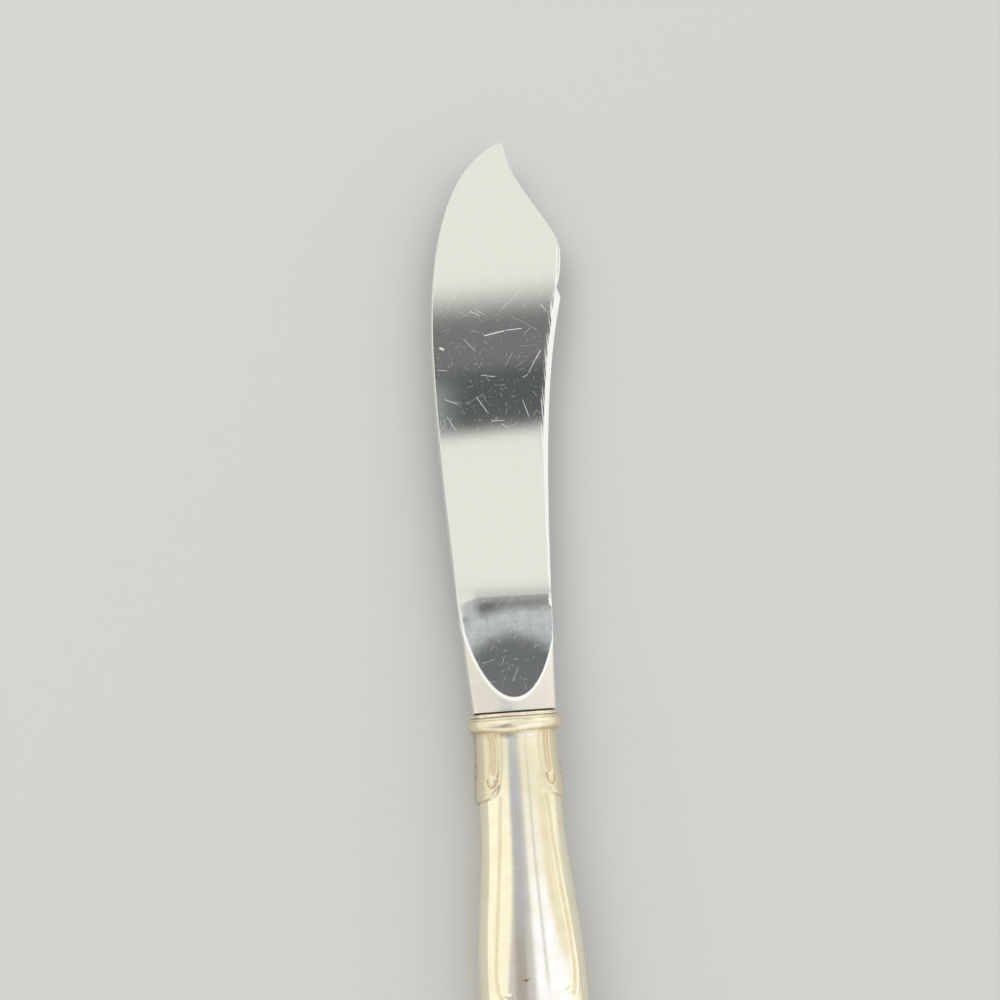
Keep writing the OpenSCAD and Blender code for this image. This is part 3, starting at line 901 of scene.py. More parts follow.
    def _row_places(self) -> np.ndarray:
        """Distances from the shoulder at which the blade is cut into rings."""
        tip_len = self.length - self.rows[-1][1]
        near_tip = self.length - tip_len * np.linspace(*self.tip_rows) ** 2
        return np.concatenate([self.end_round * np.array(self.toe_rows), steps(self.rows)[:-1], near_tip])

    def _across(self, low: float, high: float) -> np.ndarray:
        """Places across one ring, close together near both borders."""
        share = np.linspace(0, 1, self.edge_columns, endpoint=False) ** self.edge_crowd
        widest, part = self.edge_band
        near = min(widest, part * (high - low))
        middle = np.linspace(low + near, high - near, self.columns)
        return np.concatenate([low + near * share, middle, high - near * share[::-1]])

    def _tang_half(self, y: float) -> float:
        """Half width of the tang at a place behind the shoulder."""
        return float(np.interp(-y, [0, self.tang_len], [w / 2 for w in self.tang_w]))

    def _tang(self) -> tuple[np.ndarray, list[tuple[int, ...]]]:
        """The tapered tang with round notches that key it into the cement."""
        turns = np.radians(np.linspace(90, 270, 13))
        notch = self.key_r * np.stack([np.cos(turns), np.sin(turns)], 1)
        line = [(self._tang_half(0), self.tang_start)]
        for y in (-share * self.tang_len for share in self.key_places):
            line += list(notch + (self._tang_half(y), y))
        line.append((self._tang_half(-self.tang_len), -self.tang_len))
        levels = [(side, z) for z in (-self.tang_h, self.tang_h) for side in (1, -1)]
        points = np.array([(side * x, y, z) for side, z in levels for x, y in line])
        low_r, low_l, top_r, top_l = np.arange(len(points)).reshape(4, -1)
        faces = strip(low_r, low_l) + strip(top_l, top_r) + strip(top_r, low_r) + strip(low_l, top_l)
        faces += [(top_r[0], low_r[0], low_l[0], top_l[0]), (low_r[-1], top_r[-1], top_l[-1], low_l[-1])]
        return points, outward(points, faces)

    def _ring(self, y: float) -> np.ndarray:
        """Points round the blade at one place: its front, spine wall, back and edge wall."""
        x = self._across(float(self.edge_at(y)), float(self.spine_at(y)))
        h = self.height(x, np.full_like(x, y))
        bulge, fall = np.array(self.wall_shares).T
        level = np.full_like(fall, y)
        front = np.stack([x, np.full_like(x, y), h], 1)
        spine = np.stack([x[-1] + self.wall_bulge * bulge, level, h[-1] * fall], 1)
        edge = np.stack([x[0] - self.wall_bulge * bulge, level, -h[0] * fall], 1)
        return np.vstack([front, spine, front[::-1] * (1, 1, -1), edge])

    def _body(self) -> tuple[np.ndarray, list[tuple[int, ...]]]:
        """The blade and bolster as closed rings from the shoulder to the tip."""
        rings = [self._ring(y) for y in self._row_places()]
        points = np.vstack([*rings, (self.tip[0], self.length, 0.0)])
        tip = len(points) - 1
        grid = np.arange(tip).reshape(len(rings), -1)
        grid = np.hstack([grid, grid[:, :1]])
        faces = sheet(grid) + [(a, b, tip) for a, b in zip(grid[-1], grid[-1][1:])]
        wall = len(self.wall_shares)
        across = len(rings[0]) // 2 - wall
        front, spine, back, edge = np.split(grid[0][:-1], np.cumsum([across, wall, across]))
        faces += strip(front, back[::-1])
        faces += [(front[-1], *spine, back[0]), (back[-1], *edge, front[0])]
        return points, outward(points, faces)

    def build(self) -> bpy.types.Object:
        """Make the blade as one piece, dressed in its finish."""
        points, faces = self._body()
        tang_points, tang_faces = self._tang()
        shift = len(points)
        faces = faces + [tuple(i + shift for i in face) for face in tang_faces]
        points = np.vstack([points, tang_points])
        piece = mesh_piece("forged_blade", points, faces)
        store_finish_layers(piece, self.finish_layers(points[:, 0], points[:, 1]))
        piece.data.materials.append(self.finish.material())
        settle(piece, "blade_steel", "blade")
        return piece


@dataclass
class Relief:
    """A set of lines on both sides of the handle that are raised above its skin or sunk into it."""

    name: str
    half_width: float
    rise: float
    tarnish: float
    lines: Sequence[Sequence[Pair]]


class EmbossTree:
    """Geometry nodes that raise or sink a skin along lines that lie on it."""

    SIZES = (("Half width", "NodeSocketFloat"), ("Rise", "NodeSocketFloat"), ("Tarnish", "NodeSocketFloat"),
             ("Path", "NodeSocketObject"), ("Finish", "NodeSocketMaterial"))

    def __init__(self) -> None:
        """Build the tree with its named inputs."""
        self.tree = bpy.data.node_groups.new("emboss_along_lines", "GeometryNodeTree")
        face = self.tree.interface
        face.new_socket("Skin", in_out="INPUT", socket_type="NodeSocketGeometry")
        for name, kind in self.SIZES:
            face.new_socket(name, in_out="INPUT", socket_type=kind)
        face.new_socket("Skin", in_out="OUTPUT", socket_type="NodeSocketGeometry")
        self._fill(Graph(self.tree))

    def _fill(self, graph: Graph) -> None:
        """Add the nodes."""
        skin = graph.add("NodeGroupInput", None, None, "Skin")
        path = graph.add("GeometryNodeObjectInfo", None, {"Object": skin.other("Path")}, "Geometry")
        gap = graph.add("GeometryNodeProximity", {"target_element": "EDGES"}, {0: path}, "Distance")
        near = graph.math("MINIMUM", gap / skin.other("Half width"), 1.0)
        profile = 0.5 + 0.5 * graph.math("COSINE", near * math.pi)
        before = graph.add("GeometryNodeInputNamedAttribute", {"data_type": "FLOAT"}, {"Name": "recess"})
        stained = graph.math("MAXIMUM", before, profile * skin.other("Tarnish"))
        stored = graph.add("GeometryNodeStoreNamedAttribute", {"data_type": "FLOAT", "domain": "POINT"},
                           {"Geometry": skin, "Name": "recess", "Value": stained})
        lift = graph.scaled(graph.add("GeometryNodeInputNormal"), profile * skin.other("Rise"))
        moved = graph.add("GeometryNodeSetPosition", None, {"Geometry": stored, "Offset": lift})
        real = graph.add("GeometryNodeRealizeInstances", None, {0: moved})
        dressed = graph.add("GeometryNodeSetMaterial", None, {0: real, "Material": skin.other("Finish")})
        graph.add("NodeGroupOutput", None, {"Skin": dressed})

    def apply(self, piece: bpy.types.Object, **sizes: Value) -> None:
        """Add the tree to a piece as a modifier.

        Args:
            piece: The piece with the skin.
            sizes: Values of the named inputs, with _ for a space.
        """
        modifier = piece.modifiers.new("emboss", "NODES")
        modifier.node_group = self.tree
        sockets = {s.name: s.identifier for s in self.tree.interface.items_tree if s.in_out == "INPUT"}
        for name, value in sizes.items():
            modifier[sockets[name.replace("_", " ")]] = value


@dataclass
class HandleShell:
    """One stamped half of the hollow handle, with its bead, lappets and ornament, in millimetres.

    Places on it are given by a share of its half width (s) and a distance behind the shoulder (d). Widths,
    depths and backs are those of its neck, swell, waist and pommel.
    """

    face: Face
    power: float = 2.2
    length: float = 90.0
    wall: float = 0.45
    seam_h: float = 0.06
    widths: Four = (10.8, 13.3, 12.7, 16.6)
    depths: Four = (8.2, 8.9, 8.5, 9.5)
    backs: Four = (12.0, 32.0, 46.0, 76.0)
    typical_halves: Pair = (5.8, 4.3)
    mouth: float = 0.75
    bead_crest: float = 1.5
    bead_end: float = 2.5
    bead_front: float = 1.05
    bead_rise: Pair = (0.95, 0.65)
    cove_len: float = 0.9
    cove_rise: float = 0.1
    lappet_rise: float = 0.36
    lappet_root: float = 0.12
    lappet_full: float = 9.8
    lappet_end: float = 11.2
    lappet_past: float = 12.0
    lappet_border: tuple[Pair, ...] = (
        (0.0, 0.45), (6.0, 0.465), (8.0, 0.5), (9.2, 0.55), (9.9, 0.6), (10.3, 0.67), (10.65, 0.76),
        (10.9, 0.87), (11.15, 1.02), (12.0, 2.0))
    lappet_soft: Pair = (0.2, 0.13)
    lappet_soft_at: Pair = (7.0, 9.5)
    bead_foot: float = 0.4
    bead_satin: float = 0.5
    satin_soft: float = 0.1
    groove_past: float = 0.1
    groove_widths: Pair = (0.32, 0.4)
    groove_tarnish: float = 0.6
    border_gap: float = 0.015
    border_width: float = 0.03
    border_tarnish: float = 0.4
    rest_h: float = 4.7
    spot: Pair = (-0.21, 30.6)
    spot_size: Pair = (0.38, 0.14)
    spot_lean: float = 0.6
    spot_dark: float = 2.0
    inner_stride: int = 4
    rows: tuple[Run, ...] = ((0.75, 3.0, 48), (3.0, 8.0, 72), (8.0, 11.6, 64), (11.6, 29.9, 42),
                             (29.9, 38.0, 94), (38.0, 76.0, 68))
    end_rows: int = 56
    end_turn: float = 88.0
    centre_columns: int = 14
    relief_columns: int = 62
    side_columns: int = 12
    relief_span: Pair = (0.36, 0.95)
    finish: TarnishedSilver = field(default_factory=TarnishedSilver)

    @property
    def end_len(self) -> float:
        """Length of the rounded end."""
        return self.length - self.backs[3]

    def along(self, d: np.ndarray, sizes: Sequence[float]) -> np.ndarray:
        """A size that eases from the neck through swell and waist to the rounded end."""
        total = np.full_like(d, sizes[0], dtype=float)
        for size, next_size, back, next_back in zip(sizes, sizes[1:], self.backs, self.backs[1:]):
            total += (next_size - size) * ramp(d, back, next_back - back)
        return total

    def body_halves(self, d: np.ndarray, inset: float) -> tuple[np.ndarray, np.ndarray]:
        """Half width and half depth of the body, a distance inside its skin."""
        share = np.clip((d - self.backs[3]) / (self.end_len - inset), 0, 1)
        fall = np.sqrt(1 - share ** 2)
        return tuple((self.along(d, sizes) / 2 - inset) * fall for sizes in (self.widths, self.depths))

    def skin_halves(self, d: np.ndarray) -> tuple[np.ndarray, np.ndarray]:
        """Half width and half depth of the skin, with the bead and the cove behind it."""
        reach = np.where(d < self.bead_crest, self.bead_front, self.bead_end - self.bead_crest)
        bead = np.sqrt(np.clip(1 - ((d - self.bead_crest) / reach) ** 2, 0, 1))
        cove = self.cove_rise * np.clip(1 - (d - self.bead_end) / self.cove_len, 0, 1) ** 2
        cove = np.where(d < self.bead_end, 0, cove)
        halves = zip(self.body_halves(d, 0), self.bead_rise)
        return tuple(half + bead * rise + cove for half, rise in halves)

    def arch(self, s: np.ndarray) -> np.ndarray:
        """Height of the cross section, from 0 to 1, at a share of its half width."""
        return np.clip(1 - np.abs(s) ** self.power, 0, 1) ** (1 / self.power)

    def section(self, s: np.ndarray, a: np.ndarray, b: np.ndarray) -> tuple[np.ndarray, np.ndarray]:
        """A point of the cross section at a share of its half width."""
        return a * s, self.seam_h + (b - self.seam_h) * self.arch(s)

    def inside_lappet(self, s: np.ndarray, d: np.ndarray) -> np.ndarray:
        """How far a place lies inside the lappets' border, as a share of the half width."""
        places, shares = zip(*self.lappet_border)
        return np.abs(s) - np.interp(d, places, shares)

    def lappet(self, s: np.ndarray, d: np.ndarray) -> np.ndarray:
        """Height of the lappets above the body."""
        inside = ease(self.inside_lappet(s, d) / np.interp(d, self.lappet_soft_at, self.lappet_soft))
        share = np.clip((d - self.bead_end) / (self.lappet_full - self.bead_end), 0, 1)
        growth = self.lappet_root + (1 - self.lappet_root) * share ** 3
        return self.lappet_rise * inside * growth * ramp(d, self.bead_end, self.bead_foot)

    def skin(self, s: np.ndarray, d: np.ndarray) -> np.ndarray:
        """Points of the skin, with the lappets.

        Args:
            s: Shares of the half width, from -1 to 1.
            d: Distances behind the shoulder.

        Returns:
            Points in knife millimetres on the front face.
        """
        a, b = self.skin_halves(d)
        x, z = self.section(s, a, b)
        nx = np.sign(s) * np.abs(s) ** (self.power - 1) / np.maximum(a, 1e-6)
        nz = self.arch(s) ** (self.power - 1) / np.maximum(b, 1e-6)
        lift = self.lappet(s, d) / np.maximum(np.hypot(nx, nz), 1e-9)
        return np.stack([x + lift * nx, -d, np.minimum(z + lift * nz, self.rest_h)], -1)

    def columns(self) -> np.ndarray:
        """Shares of the half width at which the skin is cut, evenly spaced along its section."""
        s = np.sin(np.linspace(0, np.pi / 2, 4000))
        x, z = self.section(s, *self.typical_halves)
        run = np.concatenate([[0], np.cumsum(np.hypot(np.diff(x), np.diff(z)))])
        low, high = np.interp(self.relief_span, s, run)
        lengths = steps([(0, low, self.centre_columns), (low, high, self.relief_columns),
                         (high, run[-1], self.side_columns)])
        half = np.interp(lengths, run, s)
        half[-1] = 1.0
        return np.concatenate([-half[:0:-1], half])

    def depths_along(self, inset: float) -> np.ndarray:
        """Distances behind the shoulder of the rings, with the end's rings set by angle."""
        turns = np.radians(np.linspace(0, self.end_turn, self.end_rows + 1))[1:]
        return np.concatenate([steps(self.rows), self.backs[3] + (self.end_len - inset) * np.sin(turns)])

    def mesh(self) -> tuple[np.ndarray, list[tuple[int, ...]], dict[str, np.ndarray]]:
        """The closed shell of the front face: skin, inside wall, seam rims and mouth rim.

        Returns:
            Points, faces, and by name how use has marked each point.
        """
        s = self.columns()
        d, d_in = self.depths_along(0), self.depths_along(self.wall)[::self.inner_stride]
        s_in = s[::self.inner_stride]
        skin = self.skin(*np.meshgrid(s, d))
        a, b = self.body_halves(d_in[:, None], self.wall)
        x, z = self.section(s_in[None, :], a, b)
        inside = np.stack([x, np.broadcast_to(-d_in[:, None], x.shape), z], -1)
        poles = np.array([[0, -self.length, self.seam_h], [0, self.wall - self.length, self.seam_h]])
        points = np.vstack([skin.reshape(-1, 3), inside.reshape(-1, 3), poles])
        outer = np.arange(len(d) * len(s)).reshape(len(d), len(s))
        inner = outer.size + np.arange(len(d_in) * len(s_in)).reshape(len(d_in), len(s_in))
        out_pole, in_pole = len(points) - 2, len(points) - 1
        faces = sheet(outer) + sheet(inner[:, ::-1])
        faces += [(b, a, out_pole) for a, b in zip(outer[-1], outer[-1][1:])]
        faces += [(a, b, in_pole) for a, b in zip(inner[-1], inner[-1][1:])]
        faces += self._rim(outer[:, 0][::-1], inner[:, 0][::-1]) + self._rim(outer[:, -1], inner[:, -1])
        faces += self._rim(outer[0], inner[0])
        faces.append((outer[-1][0], out_pole, in_pole, inner[-1][0]))
        faces.append((out_pole, outer[-1][-1], inner[-1][-1], in_pole))
        finish_layers = {}
        for name, values in self.finish_layers(*np.meshgrid(s, d)).items():
            finish_layers[name] = np.zeros(len(points))
            finish_layers[name][:outer.size] = values.ravel()
        return points, faces, finish_layers

    def _rim(self, outer: np.ndarray, inner: np.ndarray) -> list[tuple[int, ...]]:
        """Flat faces between a fine border and a coarse one."""
        step = self.inner_stride
        return [(*outer[k * step:(k + 1) * step + 1][::-1], inner[k], inner[k + 1])
                for k in range(len(inner) - 1)]

    def finish_layers(self, s: np.ndarray, d: np.ndarray) -> dict[str, np.ndarray]:
        """How use has marked each place of the skin.

        Args:
            s: Shares of the half width, from -1 to 1.
            d: Distances behind the shoulder.

        Returns:
            "recess", which is 1 where tarnish has settled, and "satin", which is 1 on the rubbed bead and
            on the lappets.
        """
        groove_width = np.where(d < self.bead_end, *self.groove_widths)
        groove = hill(d, self.bead_end + self.groove_past, groove_width)
        inside = self.inside_lappet(s, d)
        border = hill(inside, -self.border_gap, self.border_width)
        border = border * ((d > self.bead_end) & (d < self.lappet_end))
        recess = np.maximum(self.groove_tarnish * groove, self.border_tarnish * border)
        if self.face is Face.FRONT:
            recess = np.maximum(recess, self.spot_dark * self._spot(s, d))
        bead = 1 - ramp(d, self.bead_end, self.bead_foot)
        lappets = ease(inside / self.satin_soft + 0.5) * (d < self.lappet_past)
        return {"recess": recess, "satin": np.maximum(self.bead_satin * bead, lappets)}

    def _spot(self, s: np.ndarray, d: np.ndarray) -> np.ndarray:
        """A small tick with two arms, which is 1 along its middle."""
        spot_s, spot_d = self.spot
        wide, thin = self.spot_size
        aside = np.abs(s - spot_s) * self.typical_halves[0]
        return hill(aside, 0, wide) * hill(d, spot_d - self.spot_lean * aside, thin)

    def line_points(self, line: Sequence[Pair], side: Side) -> np.ndarray:
        """A line of the ornament as points on the skin of the front face."""
        path = smooth_path(line)
        return self.skin(side.value * path[:, 0], path[:, 1])

    def build(self, name: str, node: str, reliefs: Sequence[Relief], tree: EmbossTree) -> bpy.types.Object:
        """Make the shell, emboss its ornament and dress it.

        Args:
            name: The piece's name.
            node: The solid that it stands for.
            reliefs: The sets of lines of its ornament.
            tree: The geometry nodes that emboss them.

        Returns:
            The finished piece.
        """
        flip = np.array([1, 1, self.face.value])
        points, faces, finish_layers = self.mesh()
        points = points * flip
        piece = mesh_piece(name, points, outward(points, faces))
        store_finish_layers(piece, finish_layers)
        silver = self.finish.material()
        piece.data.materials.append(silver)
        paths = []
        for relief in reliefs:
            runs = [self.line_points(line, side) * flip for line in relief.lines for side in Side]
            paths.append(self._path(relief.name, runs))
            tree.apply(piece, Half_width=relief.half_width * MM, Rise=relief.rise * MM,
                       Tarnish=relief.tarnish, Path=paths[-1], Finish=silver)
        self._bake(piece)
        for path in paths:
            bpy.data.objects.remove(path)
        settle(piece, "handle_silver", node)
        return piece

    @staticmethod
    def _path(name: str, runs: Sequence[np.ndarray]) -> bpy.types.Object:
        """A helper object that holds lines as edges."""
        mesh = bpy.data.meshes.new(name)
        edges, start = [], 0
        for run in runs:
            edges += [(i, i + 1) for i in range(start, start + len(run) - 1)]
            start += len(run)
        mesh.from_pydata(ANCHOR.place(np.vstack(runs)).tolist(), edges, [])
        return show(name, mesh)

    @staticmethod
    def _bake(piece: bpy.types.Object) -> None:
        """Turn the embossed skin into a plain mesh and remove the modifiers."""
        depsgraph = bpy.context.evaluated_depsgraph_get()
        embossed = piece.evaluated_get(depsgraph)
        baked = bpy.data.meshes.new_from_object(
            embossed, preserve_all_data_layers=True, depsgraph=depsgraph)
        piece.modifiers.clear()
        piece.data = baked


@dataclass
class ThreadOrnament:
    """Traditional ornament of the handle: flutes, raised threads with scrolls, and a lip on the bead.

    Each line is given by places on one side of the handle, as HandleShell has them.
    """

    shell: HandleShell
    break_d: float = 34.7
    scroll_d: float = 30.0
    ring_start: float = 40.0
    ring_turn: float = 8.0
    inner_share: float = 0.64
    channel_share: float = 0.715
    outer_share: float = 0.785
    lip_d: float = 0.98
    inner_thread: tuple[Pair, ...] = (
        (0.485, 10.2), (0.505, 12.5), (0.522, 15.0), (0.545, 18.0), (0.56, 20.3), (0.58, 22.5),
        (0.625, 27.0), (0.65, 29.0), (0.642, 30.7), (0.61, 31.75), (0.55, 32.15), (0.487, 32.14))
    outer_thread: tuple[Pair, ...] = (
        (0.605, 10.2), (0.677, 13.6), (0.704, 15.8), (0.72, 18.0), (0.728, 20.0), (0.75, 22.3),
        (0.776, 27.2), (0.795, 29.6), (0.785, 30.8), (0.762, 32.1), (0.735, 32.75), (0.69, 33.06),
        (0.64, 33.08), (0.595, 32.9), (0.57, 32.6))
    channel: tuple[Pair, ...] = (
        (0.53, 10.4), (0.583, 13.0), (0.606, 15.4), (0.633, 18.0), (0.645, 20.2), (0.666, 22.4),
        (0.7, 27.1), (0.722, 29.3), (0.714, 30.8), (0.69, 31.9), (0.64, 32.55))
    flute: tuple[Pair, ...] = (
        (0.64, 2.7), (0.615, 4.2), (0.612, 5.6), (0.625, 6.8), (0.655, 7.6),
        (0.69, 7.4), (0.695, 6.8), (0.682, 5.6), (0.688, 4.2), (0.705, 2.7))
    flute_rim: tuple[Pair, ...] = (
        (0.585, 2.7), (0.562, 4.2), (0.556, 5.9), (0.57, 7.2), (0.608, 7.95), (0.68, 8.3),
        (0.74, 7.9), (0.745, 7.1), (0.73, 5.7), (0.735, 4.2), (0.75, 2.7))
    lappet_line: tuple[Pair, ...] = (
        (0.578, 7.9), (0.588, 8.45), (0.635, 8.98), (0.71, 9.16), (0.775, 8.85), (0.8, 8.3))
    petal: tuple[Pair, ...] = ((0.455, 2.6), (0.47, 4.6), (0.485, 6.4), (0.505, 7.7))
    lobe: tuple[Pair, ...] = (
        (0.575, 8.9), (0.61, 9.45), (0.66, 9.8), (0.73, 10.1), (0.84, 10.3), (0.95, 10.4))

    def ring(self, share: float) -> list[Pair]:
        """A line that keeps a share of the outline from the break round the handle's end."""
        end_start = self.shell.backs[-1]
        straight = [(share, d) for d in np.linspace(self.ring_start, end_start, 10)]
        round_end = []
        for turn in np.radians(np.linspace(self.ring_turn, 90, 12)):
            back = share * math.sin(turn)
            across = share * math.cos(turn) / math.sqrt(1 - back ** 2)
            round_end.append((across, end_start + self.shell.end_len * back))
        return straight + round_end

    def lower(self, line: Sequence[Pair], share: float) -> list[Pair]:
        """The part of a thread behind the break, which starts with the same scroll turned over."""
        scroll = [(s, 2 * self.break_d - d) for s, d in line if d > self.scroll_d]
        return scroll[::-1] + self.ring(share)

    def reliefs(self) -> list[Relief]:
        """All the lines, by how they are worked."""
        threads = [self.inner_thread, self.outer_thread,
                   self.lower(self.inner_thread, self.inner_share),
                   self.lower(self.outer_thread, self.outer_share)]
        channels = [self.channel, self.lower(self.channel, self.channel_share)]
        lip = [[(s, self.lip_d) for s in np.sin(np.radians(np.linspace(0, 90, 16)))]]
        return [
            Relief("bead_lip", 0.11, -0.07, 0.7, lip),
            Relief("flutes", 0.45, -0.065, 0.6, [self.flute]),
            Relief("flute_rims", 0.24, 0.04, 0.0, [self.flute_rim]),
            Relief("lappet_lines", 0.32, -0.06, 0.9, [self.lappet_line]),
            Relief("lobes", 0.55, 0.06, 0.0, [self.lobe]),
            Relief("petals", 0.45, 0.02, 0.0, [self.petal]),
            Relief("channels", 0.45, -0.035, 0.5, channels),
            Relief("threads", 0.3, 0.02, 0.0, threads),
        ]


@dataclass
class MouthPlate:
    """The thin plate that closes the handle's mouth, with a spigot and the tang's slot, in millimetres."""

    shell: HandleShell
    front: float = 0.2
    thickness: float = 0.45
    spigot_end: float = 1.75
    inset: float = 0.15
    edge_round: float = 0.12
    spigot_clear: float = 0.08
    slot: Pair = (5.7, 3.3)
    points_round: int = 192
    finish: DullMetal = field(default_factory=lambda: DullMetal(
        name="tarnished_plate", colour=(0.93, 0.88, 0.73), stain=(0.78, 0.69, 0.5),
        roughness=0.24, grain=1.6))

    def _oval(self, a: float, b: float, d: float) -> np.ndarray:
        """A closed ring of the handle's cross section."""
        turn = np.linspace(0, 2 * np.pi, self.points_round, endpoint=False)
        power = 2 / self.shell.power
        x = a * np.sign(np.cos(turn)) * np.abs(np.cos(turn)) ** power
        z = b * np.sign(np.sin(turn)) * np.abs(np.sin(turn)) ** power
        return np.stack([x, np.full_like(x, -d), z], 1)

    def _slot_ring(self, d: float) -> np.ndarray:
        """A closed ring round the slot."""
        turn = np.linspace(0, 2 * np.pi, self.points_round, endpoint=False)
        w, h = self.slot[0] / 2, self.slot[1] / 2
        reach = 1 / np.maximum(np.abs(np.cos(turn)) / w, np.abs(np.sin(turn)) / h)
        return np.stack([reach * np.cos(turn), np.full_like(turn, -d), reach * np.sin(turn)], 1)

    def build(self) -> bpy.types.Object:
        """Make the plate as one closed ring of rings and dress it."""
        a, b = (float(h[0]) - self.inset for h in self.shell.skin_halves(np.array([self.shell.mouth])))
        inner = self.shell.wall + self.spigot_clear
        sa, sb = (float(h[0]) for h in self.shell.body_halves(np.array([self.shell.mouth]), inner))
        back, r = self.front + self.thickness, self.edge_round
        rings = [self._slot_ring(self.front)]
        for start in (90, 0):
            for turn in np.radians(np.linspace(start, start - 90, 5)):
                middle = self.front + r if start == 90 else back - r
                rings.append(self._oval(a - r + r * math.cos(turn), b - r + r * math.cos(turn),
                                        middle - r * math.sin(turn)))
        rings += [self._oval(sa, sb, back), self._oval(sa, sb, self.spigot_end - r),
                  self._oval(sa - r, sb - r, self.spigot_end), self._slot_ring(self.spigot_end)]
        points = np.vstack(rings)
        grid = np.arange(len(points)).reshape(len(rings), -1)
        grid = np.hstack([grid, grid[:, :1]])
        faces = outward(points, sheet(np.vstack([grid, grid[:1]])))
        piece = mesh_piece("mouth_plate_rim", points, faces)
        piece.data.materials.append(self.finish.material())
        settle(piece, "plate_silver", "mouth_plate")
        return piece


@dataclass
class HiddenJoints:
    """The solder and the cement, whose solids stay and only get their finish."""

    solder: DullMetal = field(default_factory=lambda: DullMetal(name="dull_solder"))
    cement: RosinCement = field(default_factory=RosinCement)

    def dress(self) -> None:
        """Give each carried solid its material."""
        finishes = {"mouth_solder": self.solder.material(), "filler_cement": self.cement.material()}
        finishes["seam_solder"] = finishes["mouth_solder"]
        for node, material in finishes.items():
            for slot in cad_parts[node].material_slots:
                slot.material = material
            LOG.info("%s: keeps its solid, dressed in %s", node, material.name)


